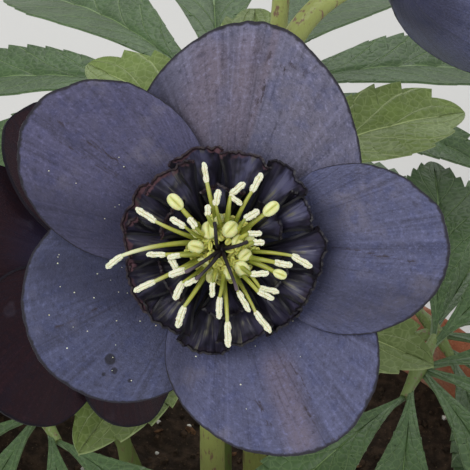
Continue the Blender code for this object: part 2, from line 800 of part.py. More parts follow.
def main():
    """Builds every part of the plant."""
    clear_scene()
    make_pot()
    holes = [make_leaf(f"leaf_{i}", leaf) for i, leaf in enumerate(LEAVES, start=1)]
    ends = {}
    for name, bloom in BLOOMS.items():
        make_bloom(name, bloom)
        ends[name] = stalk_end(bloom.frame(), RECEPTACLE_BACK)
    bud_frame = facing_frame(BUD_CENTRE, BUD_FACING, 0)
    make_bud("bud_1", bud_frame)
    ends["bud_1"] = stalk_end(bud_frame, 0)
    holes.append(make_stem("stem_1", 250, ends["bloom_1"], ends["bloom_2"], 5, (165, 236, 338)))
    holes.append(make_stem("stem_2", 40, ends["bloom_3"], ends["bud_1"], 5, (20, 90, 140)))
    make_soil(holes)
    bpy.data.collections.remove(bpy.data.collections[WORKSHOP])


main()
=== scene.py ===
"""Dresses the solid model of a potted hellebore with fine petals, stamens, leaves, stems, clay and compost.

A bloom is modelled in its own frame, where +Z runs out of its face, and is then moved to its stalk. Lengths
are in millimetres, and MM turns them to metres.
"""

import math
import random
from functools import partial

import bmesh
import bpy
from bpy.props import FloatProperty, FloatVectorProperty, IntProperty, PointerProperty
from mathutils import Matrix, Vector, noise


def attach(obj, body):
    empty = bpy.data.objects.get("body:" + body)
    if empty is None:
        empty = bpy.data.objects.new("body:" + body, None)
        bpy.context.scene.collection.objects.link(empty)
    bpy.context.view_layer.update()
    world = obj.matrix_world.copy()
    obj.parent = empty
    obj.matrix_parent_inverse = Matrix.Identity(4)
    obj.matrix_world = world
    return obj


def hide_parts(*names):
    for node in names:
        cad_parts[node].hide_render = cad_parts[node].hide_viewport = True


bl_info = {
    "name": "Potted hellebore",
    "version": (1, 0, 0),
    "blender": (4, 5, 0),
    "location": "View3D > Sidebar > Hellebore",
    "description": "Fine blooms, leaves, stems, pot and compost for a potted hellebore",
    "category": "Object",
}

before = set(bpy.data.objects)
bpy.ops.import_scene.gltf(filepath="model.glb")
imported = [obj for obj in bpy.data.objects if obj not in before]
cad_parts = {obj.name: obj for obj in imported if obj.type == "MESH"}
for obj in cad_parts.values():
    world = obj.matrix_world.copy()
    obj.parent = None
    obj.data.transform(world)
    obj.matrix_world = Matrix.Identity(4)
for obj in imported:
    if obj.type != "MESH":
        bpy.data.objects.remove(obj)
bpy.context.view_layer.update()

MM = 0.001
SMOOTH_ANGLE = math.radians(50)
BODY = "root"
UP = Vector((0, 0, 1))

# The camera looks straight into the best bloom, from this far, at a frame this wide there.
VIEW_DISTANCE = 420 * MM
VIEW_WIDTH = 75.8 * MM
VIEW_SHIFT = (2.0, 2.26)
BEST_FACING = (0, -0.643, 0.766)

# The receptacle and sepals.
RECEPTACLE_RADIUS = 5.4
RECEPTACLE_BACK = -1.6
RECEPTACLE_TOP = 3.2
SEPAL_THICKNESS = 0.5
SEPAL_LAYER = 1.2
SEPAL_FOOT_RADIUS = 4.2
SEPAL_SPAN = 32
SEPAL_WAVE = 0.7

# The ruff of nectaries.
RUFF_INNER = 2
RUFF_OUTER = 5
RUFF_LOW = 3.5
RUFF_HIGH = 5.6
NECTARY_THICKNESS = 0.4
NECTARY_LAYER = 1
NECTARY_RISE = 3.9
NECTARY_SPREAD = 205
INNER_NECTARY_REACH = 0.64
INNER_NECTARY_RISE = 3.2
INNER_NECTARY_SPREAD = 120
SEAT = 0.35
RING_SIDES = 32

# The stamens and carpels.
STAMEN_RING_OUTER = 4.3
STAMEN_RING_LOW = 5.9
STAMEN_RING_HIGH = 7.8
STAMEN_TIP = 11.4
FILAMENT_RADIUS = 0.34
FILAMENT_STEPS = 10
CROWD = 150
GOLDEN_ANGLE = 137.5
CARPEL_RADIUS = 1.6
CARPEL_TOP = 10.6
STYLE_ARCH = 4
STYLE_STEPS = 14

# Leaves and bracts. A leaflet's half width, fold and arch are shares of its size.
LEAF_THICKNESS = 0.5
LEAFLET_HALF_WIDTH = 0.145
LEAFLET_FOLD = 0.16
LEAFLET_ARCH = 0.24
LEAFLET_COLUMNS = 12
RIB_STEPS = 18
LEAF_SPREAD = (0, 37, -37, 74, -74, 110, -110)
LEAF_ARMS = {74: 4.5, 110: 8}
LEAF_RING = 21
PETIOLE_RADIUS = 2
PETIOLE_LEAN = 0.12
PETIOLE_STEPS = 28
BRACT_LENGTH = 46
BRACT_HALF_WIDTH = 9.2
BRACT_LIFT = 0.25
BRACT_SEAT = 1.5
BRACT_TEETH = 9

# Flower stems and the bud.
STEM_RING = 8
STEM_RADIUS = 2.9
STEM_LEAN = 0.03
BRANCH_RADIUS = 1.8
STALK_NECK = 4
STALK_GAP = 0.3
BUD_LENGTH = 19
BUD_GIRTH = 0.4
FORK = 5
STEM_STEPS = 8
STEM_FINENESS = 6
BRANCH_STEPS = 30

# The pot and the compost.
POT_HEIGHT = 150
POT_FOOT_RADIUS = 56
POT_RIM_RADIUS = 86
POT_COLLAR_HEIGHT = 30
POT_COLLAR_STEP = 4
POT_WALL = 7
POT_FLOOR = 9
POT_LIP = 3
POT_SIDES = 144
TURNING_GAP = 3.5
TURNING_DEPTH = 0.12
DRAIN_COUNT = 3
DRAIN_RADIUS = 6
DRAIN_RING = 32
SOIL_TOP = 134
SOIL_LUMP = 2
SOIL_GAP = 0.3
SOIL_WALL_GAP = 0.5
SOIL_SIDES = 150
SOIL_RINGS = 56
PLANTED_DEPTH = 26
COLLAR_HEIGHT = 7

# Each sepal: bearing, middle and half axes of its oval, layer, egg and skew, as in the solid model.
BEST_SEPALS = (
    (0, 22.2, 15.2, 14.1, 2, 0.04, 0),
    (76.5, 19.4, 18.2, 18.6, 0, 0.22, 1.4),
    (144, 22.4, 16.4, 14.0, 2, 0, 0),
    (207.5, 18.4, 16.4, 16.6, 0, 0, 0),
    (296.5, 19.8, 16.8, 17.3, 1, 0.1, 0.8),
)
OTHER_SEPALS = (
    (8, 18.6, 14.2, 14.6, 2, 0, 0),
    (82, 18.0, 15.6, 15.8, 0, 0, 0),
    (150, 18.8, 14.4, 14.2, 2, 0, 0),
    (221, 17.8, 15.0, 15.6, 0, 0, 0),
    (296, 18.4, 14.4, 15.0, 1, 0, 0),
)

# Open stamens of the best bloom: foot and tip of each anther, right of and above the middle, and its height.
# One has the turn of its filament's root after them, in degrees.
OPEN_STAMENS = (
    (-2.4, 10.5, -2.9, 13.5, 11.6),
    (-1.0, 7.0, -0.6, 9.2, 12.6),
    (-2.3, 5.4, -2.2, 6.8, 13.4),
    (1.4, 8.7, 3.4, 10.3, 12.2),
    (1.3, 8.4, 2.9, 7.1, 12.8),
    (4.65, 9.1, 6.1, 11.8, 11.8),
    (3.6, 4.8, 5.6, 6.0, 12.8),
    (4.1, 2.5, 6.0, 2.5, 13.0),
    (5.0, 1.1, 6.4, 1.1, 13.4),
    (11.0, -1.0, 13.9, -2.7, 11.6),
    (8.2, -2.0, 10.8, -2.5, 12.4),
    (4.5, -3.9, 7.1, -3.7, 12.8),
    (5.9, -6.0, 8.7, -6.7, 12.0),
    (5.6, -6.6, 7.9, -7.7, 12.6),
    (5.2, -9.8, 7.5, -12.9, 11.6),
    (2.5, -6.6, 4.2, -9.6, 12.6),
    (0.8, -11.4, 0.95, -15.2, 11.6),
    (-0.4, -7.5, -0.5, -10.7, 12.4),
    (-1.5, -5.2, -1.6, -7.3, 13.0),
    (-6.0, -9.0, -7.0, -12.1, 11.8),
    (-6.2, -5.2, -7.4, -7.7, 12.6),
    (-10.6, -5.0, -13.7, -6.5, 11.6),
    (-15.8, -1.0, -18.1, -2.8, 11.2, -22),
    (-8.9, -0.8, -11.7, -0.8, 12.2),
    (-10.5, 4.4, -13.4, 6.4, 11.8),
    (-5.9, 3.6, -7.95, 4.8, 12.6),
    (-4.2, 3.5, -5.1, 4.8, 13.2),
    (-6.6, -0.9, -8.4, -1.3, 12.8),
    (-7.2, -3.0, -8.1, -1.5, 12.2),
    (-5.9, -3.2, -8.2, -4.0, 13.2),
    (-4.0, -4.6, -5.7, -5.5, 13.4),
)
# Unopened stamens that stand out of the best bloom's centre: place, and the radius of the anther.
ROUND_STAMENS = ((7.7, 6.4, 1.3), (9.1, -3.9, 1.0), (-7.4, 7.5, 1.35))
# Unopened stamens that crowd round its carpels: place, bearing of the seam in degrees, radius and height.
CENTRE_STAMENS = (
    (-2.1, 3.1, 95, 1.35, 11.4),
    (1.3, 3.2, 48, 1.4, 11.6),
    (-4.1, 0.4, -15, 1.25, 11.3),
    (3.2, -3.1, -45, 1.3, 11.4),
    (3.6, -0.9, 40, 1.1, 10.8),
    (2.4, 1.4, 60, 1.0, 10.6),
    (-1.6, -4.2, 70, 1.1, 10.4),
    (-3.0, -2.2, -30, 1.0, 10.2),
    (1.0, -3.7, 100, 1.0, 10.2),
    (-0.5, 4.8, 80, 0.9, 10.2),
    (-4.2, 2.6, 140, 0.9, 10.0),
    (4.4, 1.3, 10, 0.9, 10.0),
)
# Foot and tip of each style.
BEST_STYLES = (
    (-1.1, 0.3, -1.2, 4.2),
    (0.4, 0.1, 3.9, 1.2),
    (-0.9, -0.4, -5.7, -3.5),
    (-0.4, -0.7, -4.1, -4.6),
    (0.1, -0.7, 2.3, -6.3),
)


def even_stamens(count, near, far):
    """Anthers spaced evenly round a bloom, that reach near and far by turns, as foot, tip and height."""
    spaced = []
    for i in range(count):
        bearing, reach = 360 * (i + 0.4) / count, far if i % 2 else near
        foot, tip = polar(bearing, reach), polar(bearing, reach + 3)
        spaced.append((foot.x, foot.y, tip.x, tip.y, STAMEN_TIP + (i % 3) * 0.5))
    return tuple(spaced)


def even_styles(count):
    """Styles spaced evenly round a bloom."""
    bearings = [360 * (i + 0.3) / count for i in range(count)]
    return [(*polar(bearing, 0.6).xy, *polar(bearing, 5.6).xy) for bearing in bearings]


def polar(bearing, reach, height=0.0):
    """A point from a bearing in degrees, a distance from the Z axis and a height."""
    angle = math.radians(bearing)
    return Vector((reach * math.cos(angle), reach * math.sin(angle), height))


def facing_frame(centre, facing, roll):
    """The matrix that moves a shape in millimetres to this centre, with +Z along facing and +Y as far up as
    it can be."""
    out = Vector(facing).normalized()
    across = UP.cross(out).normalized()
    up = out.cross(across)
    turn = Matrix((across, up, out)).transposed() @ Matrix.Rotation(math.radians(roll), 3, "Z")
    return Matrix.Translation(Vector(centre) * MM) @ turn.to_4x4() @ Matrix.Scale(MM, 4)


EVEN_CENTRE = (
    (-2.4, 3.0, 128, 1, 11),
    (2.2, 3.2, 55, 1, 11),
    (-3.6, -1.2, 198, 1, 11),
    (3.6, -1, -15, 1, 11),
    (0.2, -4, -87, 1, 11),
)
BLOOMS = {
    "bloom_1": {
        "frame": facing_frame((0, -75, 345), BEST_FACING, 0),
        "cup": 14,
        "sepals": BEST_SEPALS,
        "ruff": 16.2,
        "nectaries": 14,
        "inner_nectaries": 6,
        "open": OPEN_STAMENS,
        "round": ROUND_STAMENS,
        "centre": CENTRE_STAMENS,
        "styles": BEST_STYLES,
        "fineness": 2.0,
    },
    "bloom_2": {
        "frame": facing_frame((-23, -48.3, 308.4), (-0.71, 0.26, -0.66), 61.7),
        "cup": 18,
        "sepals": OTHER_SEPALS,
        "ruff": 14.5,
        "nectaries": 10,
        "inner_nectaries": 0,
        "open": even_stamens(8, 10.4, 12.2) + even_stamens(9, 5.6, 8.2),
        "round": (),
        "centre": EVEN_CENTRE,
        "styles": even_styles(5),
        "fineness": 1.0,
    },
    "bloom_3": {
        "frame": facing_frame((34, 12, 322), (0.62, 0.50, -0.35), -10),
        "cup": 52,
        "sepals": OTHER_SEPALS,
        "ruff": 7.6,
        "nectaries": 8,
        "inner_nectaries": 0,
        "open": even_stamens(5, 5.4, 6.4),
        "round": (),
        "centre": EVEN_CENTRE,
        "styles": even_styles(3),
        "fineness": 1.0,
    },
}
BUD_FRAME = facing_frame((2, 40, 330), (-0.30, 0.45, -0.30), 0)

# Each leaf: bearing in degrees, its hub's reach and height, its longest leaflet, and its droop in degrees.
LEAVES = (
    (268, 56, 178, 78, 16),
    (336, 44, 238, 84, 12),
    (28, 54, 194, 84, 18),
    (92, 44, 252, 86, 13),
    (150, 56, 188, 80, 17),
    (208, 44, 226, 84, 12),
)


def linear(code):
    """The linear colour of an sRGB hex value."""
    parts = [int(code[i : i + 2], 16) / 255 for i in (0, 2, 4)]
    return tuple(c / 12.92 if c <= 0.04045 else ((c + 0.055) / 1.055) ** 2.4 for c in parts)


def colour(name, description, code):
    """A colour that a user can change."""
    return FloatVectorProperty(
        name=name, description=description, subtype="COLOR", size=3, min=0, max=1, default=linear(code)
    )


class HELLEBORE_PG_bloom(bpy.types.PropertyGroup):
    """Colours and forms of the blooms."""

    sepal: colour("Sepal", "Slate blue of a sepal's face", "525472")
    sepal_grey: colour("Sepal mottle", "Greyer purple that clouds the sepals", "6C6777")
    sepal_dark: colour("Sepal veins", "Blue-black of veins, edges and spots", "1E1B28")
    nectary: colour("Nectary", "Blue-black of the ruff", "211E2A")
    nectary_rim: colour("Nectary rim", "Red-brown of the ruff's crinkled rims", "6C4E56")
    filament: colour("Filament", "Yellow-green of the filaments", "A2A540")
    anther: colour("Anther", "Cream of an open anther's pollen", "F8F7DC")
    unopened: colour("Unopened anther", "Pale green-yellow of a closed anther", "EAECB0")
    style: colour("Style", "Purple-black of the styles", "1B151A")
    rim_frill: FloatProperty(
        name="Rim frill", description="Height of the crinkles on a nectary's rim, in mm", default=0.42
    )


class HELLEBORE_PG_foliage(bpy.types.PropertyGroup):
    """Colours and forms of leaves, bracts and stems."""

    blade: colour("Leaf", "Deep green of a leaf's face", "3E5530")
    blade_vein: colour("Leaf vein", "Paler green of the veins", "7D9560")
    bract: colour("Bract", "Fresh green of the bracts", "62733A")
    stem: colour("Stem", "Yellow-green of stems", "9BA35C")
    fleck: colour("Stem fleck", "Red-purple of the flecks on stems", "6B3B45")
    teeth: IntProperty(name="Teeth", description="Teeth on each side of a leaflet", default=15, min=3, max=24)


class HELLEBORE_PG_pot(bpy.types.PropertyGroup):
    """Colours and forms of the pot and its compost."""

    clay: colour("Clay", "Orange-brown of the fired clay", "B0694B")
    lime: colour("Lime bloom", "Grey-white of the lime on the clay", "CDB9A8")
    compost: colour("Compost", "Brown-black of damp compost", "2C231C")
    crumbs: IntProperty(
        name="Crumbs", description="Loose crumbs on the compost", default=520, min=0, max=2000
    )


class HELLEBORE_PG_stage(bpy.types.PropertyGroup):
    """The floor and the light round the plant."""

    floor: colour("Floor", "Pale grey of the floor", "D9D8D4")
    sky: FloatProperty(name="Sky light", description="Strength of the even light from all round", default=0.5)
    key: FloatProperty(
        name="Key light", description="Power of the large soft light, in watts", default=82, unit="POWER"
    )


SETTINGS = {
    "hellebore_bloom": HELLEBORE_PG_bloom,
    "hellebore_foliage": HELLEBORE_PG_foliage,
    "hellebore_pot": HELLEBORE_PG_pot,
    "hellebore_stage": HELLEBORE_PG_stage,
}


def choose(*things):
    """Selects just these objects. The first is made the active one."""
    bpy.ops.object.select_all(action="DESELECT")
    for thing in things:
        thing.select_set(True)
    bpy.context.view_layer.objects.active = things[0]


def modify(thing, kind, **settings):
    """Applies a modifier of this kind to the object."""
    choose(thing)
    bpy.ops.object.modifier_add(type=kind)
    modifier = thing.modifiers[-1]
    for name, value in settings.items():
        setattr(modifier, name, value)
    bpy.ops.object.modifier_apply(modifier=modifier.name)


def join(things):
    """One object of them all."""
    choose(*things)
    if len(things) > 1:
        bpy.ops.object.join()
    return bpy.context.view_layer.objects.active


def weld(thing):
    """Merges the object's doubled corners and turns its faces outwards."""
    choose(thing)
    bpy.ops.object.mode_set(mode="EDIT")
    bpy.ops.mesh.select_all(action="SELECT")
    bpy.ops.mesh.remove_doubles(threshold=0.00001)
    bpy.ops.mesh.normals_make_consistent(inside=False)
    bpy.ops.object.mode_set(mode="OBJECT")


def added(primitive, **settings):
    """The object that this operator adds, which is then the only one selected."""
    bpy.ops.object.select_all(action="DESELECT")
    primitive(**settings)
    return bpy.context.active_object


def stain(thing, stains):
    """Gives each corner of the object its three stains, in order, as the attribute stain."""
    attribute = thing.data.attributes.new("stain", "FLOAT_COLOR", "POINT")
    attribute.data.foreach_set("color", [part for three in stains for part in (*three, 1)])


def sheet(rows, columns, place, paint=None):
    """A sheet bent from a flat grid. place(s, t) gives each point in metres, with s from 0 at the foot to 1
    at the tip and t from -1 to 1 across. paint(s, t) gives the three stains there."""
    made = added(bpy.ops.mesh.primitive_grid_add, x_subdivisions=rows, y_subdivisions=columns, size=2)
    spots = [((corner.co.x + 1) / 2, corner.co.y) for corner in made.data.vertices]
    if paint:
        stain(made, [paint(*spot) for spot in spots])
    for corner, spot in zip(made.data.vertices, spots):
        corner.co = place(*spot)
    return made


def tube(points, radii, sides):
    """A round tube with closed ends along points in metres, with a radius in millimetres at each."""
    curve = added(bpy.ops.curve.primitive_nurbs_path_add).data
    curve.splines.clear()
    curve.bevel_depth = MM
    curve.bevel_resolution = (sides - 4) // 2
    curve.use_fill_caps = True
    line = curve.splines.new("POLY")
    line.points.add(len(points) - 1)
    for point, place, radius in zip(line.points, points, radii):
        point.co = (*place, 1)
        point.radius = radius
    bpy.ops.object.convert(target="MESH")
    made = bpy.context.active_object
    weld(made)
    return made


def lathe(profile, steps):
    """A body turned round Z from (radius, height) points in millimetres that run down its outside."""
    last = len(profile) - 1

    def place(s, t):
        radius, height = profile[round(s * last)]
        return polar(180 * t, radius, height) * MM

    made = sheet(last, steps, place)
    weld(made)
    return made


def rounded(profile, radius, steps):
    """The (radius, height) points with each corner between them replaced by a small curve."""
    points = [Vector(point) for point in profile]
    curved = [points[0]]
    for before, corner, after in zip(points, points[1:], points[2:]):
        into, out = before - corner, after - corner
        reach = min(radius, into.length * 0.45, out.length * 0.45)
        start, end = corner + into.normalized() * reach, corner + out.normalized() * reach
        for i in range(steps + 1):
            u = i / steps
            curved.append(start * (1 - u) ** 2 + corner * 2 * u * (1 - u) + end * u * u)
    return [tuple(point) for point in curved + [points[-1]]]


def bezier(p0, p1, p2, p3, count):
    """Points along a cubic curve, in count steps, both ends included."""
    points = []
    for i in range(count + 1):
        t = i / count
        points.append(p0 * (1 - t) ** 3 + p1 * 3 * t * (1 - t) ** 2 + p2 * 3 * t * t * (1 - t) + p3 * t**3)
    return points


def strewn(master, matrices):
    """One object of many copies of the master, which is used up."""
    bm = bmesh.new()
    for matrix in matrices:
        mesh = master.data.copy()
        mesh.transform(matrix)
        bm.from_mesh(mesh)
        bpy.data.meshes.remove(mesh)
    bm.to_mesh(master.data)
    bm.free()
    return master


def settle(piece, name, skin, node):
    """Names a finished piece, gives it its material and shading, hangs it on the root body, and hides the
    solid part of its node.
    """
    choose(piece)
    bpy.ops.object.shade_smooth_by_angle(angle=SMOOTH_ANGLE)
    piece.name = name
    piece.data.name = name
    piece.data.materials.clear()
    piece.data.materials.append(skin)
    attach(piece, BODY)
    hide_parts(node)


def set_in_bloom(thing, bloom):
    """Moves an object that was made in the bloom's own frame to its place."""
    thing.data.transform(bloom["frame"] @ Matrix.Scale(1 / MM, 4))


def share_off_axis(thing, bloom):
    """The distance of each corner from the bloom's axis, in centimetres, as the first of three stains."""
    to_bloom = bloom["frame"].inverted()
    return [((to_bloom @ corner.co).to_2d().length / 10, 0, 0) for corner in thing.data.vertices]


def waver(x, y, z):
    """Smooth noise from -1 to 1 at this point."""
    return noise.noise(Vector((x, y, z)))


# Settings that many nodes share. ALL asks a node for all its outputs.
EASED = {"interpolation_type": "SMOOTHSTEP"}
COLOURS = {"data_type": "RGBA"}
TIMES = {"operation": "MULTIPLY"}
PLUS = {"operation": "ADD"}
TIMES_PLUS = {"operation": "MULTIPLY_ADD"}
TRANSLUCENT = {"Subsurface_Weight": 0.15, "Subsurface_Scale": 0.5 * MM}
ALL = slice(None)


def add(tree, kind, *inputs, named=None, out=0, **settings):
    """Adds a node with its settings, and sets or links its inputs, in the order of its open sockets or by
    name. Returns the output with this number or name."""
    node = tree.nodes.new("ShaderNode" + kind)
    for name, value in settings.items():
        setattr(node, name, value)
    sockets = list(zip((socket for socket in node.inputs if socket.enabled), inputs))
    for socket, value in sockets + [(node.inputs[name], value) for name, value in (named or {}).items()]:
        if isinstance(value, bpy.types.NodeSocket):
            tree.links.new(value, socket)
        else:
            socket.default_value = (*value, 1) if socket.type == "RGBA" else value
    if isinstance(out, str):
        return node.outputs[out]
    return [socket for socket in node.outputs if socket.enabled][out]


def begin(name):
    """A new, empty material, the function that adds nodes to it, and the place of each point on the piece."""
    made = bpy.data.materials.new(name)
    made.use_nodes = True
    made.node_tree.nodes.clear()
    node = partial(add, made.node_tree)
    return made, node, node("TexCoord", out="Object")


def layered(node, place, colour, *layers):
    """A colour turned towards one tint after another. A layer is a tint or its hex code, a value, where the
    value starts and stops counting, and the most that the tint takes. Two numbers as the value stand for
    patches of that size in millimetres and that detail."""
    for tint, value, low, high, most in layers:
        if isinstance(value, tuple):
            size, detail = value
            value = node("TexNoise", place, 1 / (size * MM), detail, 0.55)
        if isinstance(tint, str):
            tint = linear(tint)
        colour = node("Mix", node("MapRange", value, low, high, 0, most, **EASED), colour, tint, **COLOURS)
    return colour


def finish(node, made, colour, relief=None, depth=0.0, **shine):
    """Ends a material with a surface of this colour, relief this many millimetres deep, and its shine."""
    named = {"Base Color": colour} | {name.replace("_", " "): value for name, value in shine.items()}
    if relief:
        named["Normal"] = node("Bump", named={"Height": relief, "Distance": depth * MM, "Strength": 1.0})
    node("OutputMaterial", node("BsdfPrincipled", named=named), out=ALL)
    return made


def blade_parts(node):
    """Where a point is on a blade, from its UV map: along it from its foot, across it, and off its midrib."""
    uv = node("TexCoord", out="UV")
    along, across, _ = node("SeparateXYZ", uv, out=ALL)
    off_middle = node("Math", node("Math", across, 0.5, operation="SUBTRACT"), operation="ABSOLUTE")
    return uv, along, off_middle


def stains_of(node):
    """The three stains that a piece's mesh carries. On sepals and nectaries some of them mark painted shade
    and painted sheen.
    """
    return node("SeparateColor", node("Attribute", attribute_name="stain", out="Color"), out=ALL)


def sepal_skin(name, base, cloud, spots=(), gloss=1.0):
    """Living sepal skin, thin and softly matt: a mealy, waxy bloom over slate purple, faint veins that fan
    out from the foot, a crease along the middle, a thin near-black edge, and painted shade: shadows cast
    on given places, and deeper blue towards the ruff."""
    look = bpy.context.scene.hellebore_bloom
    made, node, place = begin(name)
    uv, along, off_middle = blade_parts(node)
    warm, dark_lines, painted_shade = stains_of(node)
    dark = look.sepal_dark
    pale = [2.4 * c for c in base]
    bluer = [share * c for share, c in zip((0.72, 0.78, 0.95), base)]
    # Noise drawn out along the sepal: broad streaks, fine veins, scribbles, and meal.
    drawn_out = (1.1, 20, 2, 0.5), (1.6, 80, 2, 0.5), (22, 85, 4, 0.7), (52, 62, 3, 0.65)
    streaks, veins, scribble, meal = (
        node("TexNoise", node("VectorMath", uv, (*stretch, 1), **TIMES), 1.0, detail, rough)
        for *stretch, detail, rough in drawn_out
    )
    fine = node("TexNoise", place, 1 / (0.3 * MM), 3.0, 0.65)
    # A thin line that wavers along the middle.
    wander = node("MapRange", node("TexNoise", place, 1 / (3 * MM)), 0.35, 0.65, 0.001, 0.006, **EASED)
    line = node("Math", off_middle, wander, operation="LESS_THAN")
    line = node("Math", line, node("MapRange", along, 0.55, 0.98, 0.35, 0.05, **EASED), **TIMES)
    scribble = node("MapRange", scribble, 0.47, 0.60, 0, 0.75, **EASED)
    scribble = node("Math", scribble, node("MapRange", dark_lines, 0.1, 0.9), **TIMES)
    ragged = node("MapRange", node("TexNoise", place, 1 / (1.4 * MM), 3.0), 0.3, 0.7, -0.004, 0.004)
    edge = node("Math", along, ragged, **PLUS)
    spotted = []
    for middle, radius in spots:
        distance = node("VectorMath", place, middle, operation="DISTANCE")
        spotted.append(("14111C", distance, (radius + 0.2) * MM, (radius - 0.1) * MM, 0.85))
    colour = layered(
        node, place, base,
        # Clouds of greyer purple, and smaller bluer ones.
        (look.sepal_grey, (7.0, 2), 0.62 - cloud * 0.4, 0.82 - cloud * 0.3, 0.7),
        (bluer, (2.5, 2), 0.46, 0.70, 0.7),
        ("71636F", warm, 0, 1, 0.55),
        (dark, streaks, 0.50, 0.70, 0.20),
        (dark, veins, 0.53, 0.68, 0.34),
        (pale, veins, 0.45, 0.30, 0.18),
        # The crease along the middle: a soft shadow and the thin brown line.
        (dark, off_middle, 0.030, 0.0, 0.14),
        ("2A2029", line, 0, 1, 1),
        # Mealy grain: pale specks with darker pores between.
        (pale, meal, 0.52, 0.74, 0.42),
        (dark, meal, 0.48, 0.30, 0.42),
        (pale, fine, 0.54, 0.72, 0.32),
        (dark, fine, 0.46, 0.28, 0.34),
        ("2E2226", scribble, 0, 1, 1),
        *spotted,
        # Painted shade: shadows cast on given places, and deeper blue towards the ruff, where its shade
        # falls. Then the thin near-black edge.
        ("23233A", painted_shade, 0, 1, 0.55),
        ("22223A", along, 0.66, 0.34, 0.6),
        ("17131C", edge, 0.984, 0.994, 0.95),
    )
    relief = node("Math", veins, -0.8, fine, **TIMES_PLUS)
    shine = {"Specular_IOR_Level": 0.35 * gloss, "Sheen_Weight": 0.1 * gloss, "Sheen_Roughness": 0.5}
    return finish(node, made, colour, relief, 0.13, Roughness=0.58, **shine)


def nectary_skin():
    """Nectary tissue, thin with a silky gloss: blue-black, with a painted blue-grey sheen and green-grey rays
    up the middle of each scoop, painted shade nearly black at its folded sides and foot, and a dry crinkled
    rim that is red-brown in places."""
    look = bpy.context.scene.hellebore_bloom
    made, node, place = begin("nectary_skin")
    uv, along, off_middle = blade_parts(node)
    # The second stain, pale, is how much painted sheen a scoop takes.
    red, pale, _ = stains_of(node)
    rays = node("TexNoise", node("VectorMath", uv, (0.8, 5.5, 1), **TIMES), 1.0, 3.0, 0.6)
    # Painted sheen: the open middle of a scoop is lightened to blue-grey, most on the upper right scoops,
    # where the light falls. It has green-grey rays in places.
    middle = node("MapRange", off_middle, 0.34, 0.08, 0, 1, **EASED)
    middle = node("Math", middle, node("MapRange", along, 0.40, 0.68, 0, 1, **EASED), **TIMES)
    painted_sheen = node("MapRange", node("TexNoise", place, 1 / (3 * MM)), 0.35, 0.62, 0.15, 1, **EASED)
    painted_sheen = node("Math", painted_sheen, node("Math", middle, pale, **TIMES), **TIMES)
    some = node("MapRange", node("TexNoise", place, 1 / (4 * MM)), 0.60, 0.44, 0, 0.9, **EASED)
    some = node("Math", some, node("MapRange", rays, 0.42, 0.56, 0, 1, **EASED), **TIMES)
    rim = node("MapRange", node("TexNoise", place, 1 / (2.4 * MM)), 0.3, 0.7, -0.08, 0.05)
    rim = node("MapRange", node("Math", along, rim, **PLUS), 0.90, 0.965, 0, 0.9, **EASED)
    colour = layered(
        node, place, look.nectary,
        ("38344A", (2.6, 2), 0.38, 0.62, 0.9),
        ("605F7E", painted_sheen, 0, 1, 0.9),
        ("7E7B69", node("Math", some, middle, **TIMES), 0, 1, 1),
        ("0F0D14", rays, 0.46, 0.32, 0.75),
        # Painted shade: the folded sides and the foot are darkened nearly to black, where shade falls between
        # the scoops and deep in the ruff.
        ("0B0A0F", off_middle, 0.33, 0.44, 0.85),
        ("08070B", along, 0.60, 0.25, 0.92),
        (look.nectary_rim, node("Math", rim, red, **TIMES), 0, 1, 1),
        ("120D10", along, 0.962, 0.982, 0.85),
    )
    return finish(node, made, colour, rays, 0.30, Roughness=0.42, Specular_IOR_Level=0.5, Coat_Weight=0.1)


def filament_skin():
    """Filament tissue, smooth and translucent: yellow at the root, then olive, yellow-green further out, and
    cream on the longest."""
    look = bpy.context.scene.hellebore_bloom
    made, node, place = begin("filament_skin")
    outward, _, _ = stains_of(node)
    colour = layered(
        node, place, look.filament,
        ("B9BC60", (2.5, 2), 0.35, 0.7, 0.6),
        ("727C24", outward, 0.80, 0.45, 0.85),
        ("C4C65A", outward, 0.52, 0.34, 0.95),
        ("DCDFB4", outward, 0.9, 1.5, 1),
    )
    return finish(node, made, colour, Roughness=0.42, **TRANSLUCENT)


def pollen_coat():
    """Pollen on an open anther: dry cream grains, drawn a fifth of a millimetre wide, coarser than real, so
    that they show."""
    look = bpy.context.scene.hellebore_bloom
    made, node, place = begin("pollen_coat")
    groove, _, _ = stains_of(node)
    grains = node("TexVoronoi", place, 1 / (0.2 * MM))
    colour = layered(
        node, place, look.anther,
        ("DAD6A8", grains, 0.45, 0.95, 0.7),
        ("C6C488", (0.8, 2), 0.55, 0.70, 0.5),
        ("AEAC62", groove, 0.3, 1, 0.6),
    )
    soft = {"Subsurface_Weight": 0.1, "Subsurface_Scale": 0.3 * MM}
    return finish(node, made, colour, grains, -0.12, Roughness=0.9, **soft)


def unopened_skin():
    """The skin of a closed anther, waxy and smooth: pale lobes, olive along the seam, yellower when young."""
    look = bpy.context.scene.hellebore_bloom
    made, node, place = begin("unopened_anther_skin")
    seam, middle, young = stains_of(node)
    colour = layered(
        node, place, look.unopened,
        ("D6D786", (0.9, 2), 0.4, 0.7, 0.6),
        ("E4E266", young, 0, 1, 0.75),
        ("C2C45A", middle, 0.1, 0.9, 0.7),
        ("8C8C38", seam, 0.3, 1, 0.65),
    )
    return finish(node, made, colour, Roughness=0.45, **TRANSLUCENT)


def style_skin():
    """Style and carpel tissue, fleshy with a soft gloss: near-black, grey-purple at the styles' tips."""
    look = bpy.context.scene.hellebore_bloom
    made, node, place = begin("style_skin")
    outward, _, _ = stains_of(node)
    mottle, tips = ("2E2227", (0.8, 2), 0.4, 0.7, 0.6), ("6E5F68", outward, 0.42, 0.68, 0.8)
    colour = layered(node, place, look.style, mottle, tips)
    fine = node("TexNoise", place, 1 / (0.3 * MM))
    return finish(node, made, colour, fine, 0.05, Roughness=0.5, Specular_IOR_Level=0.35)


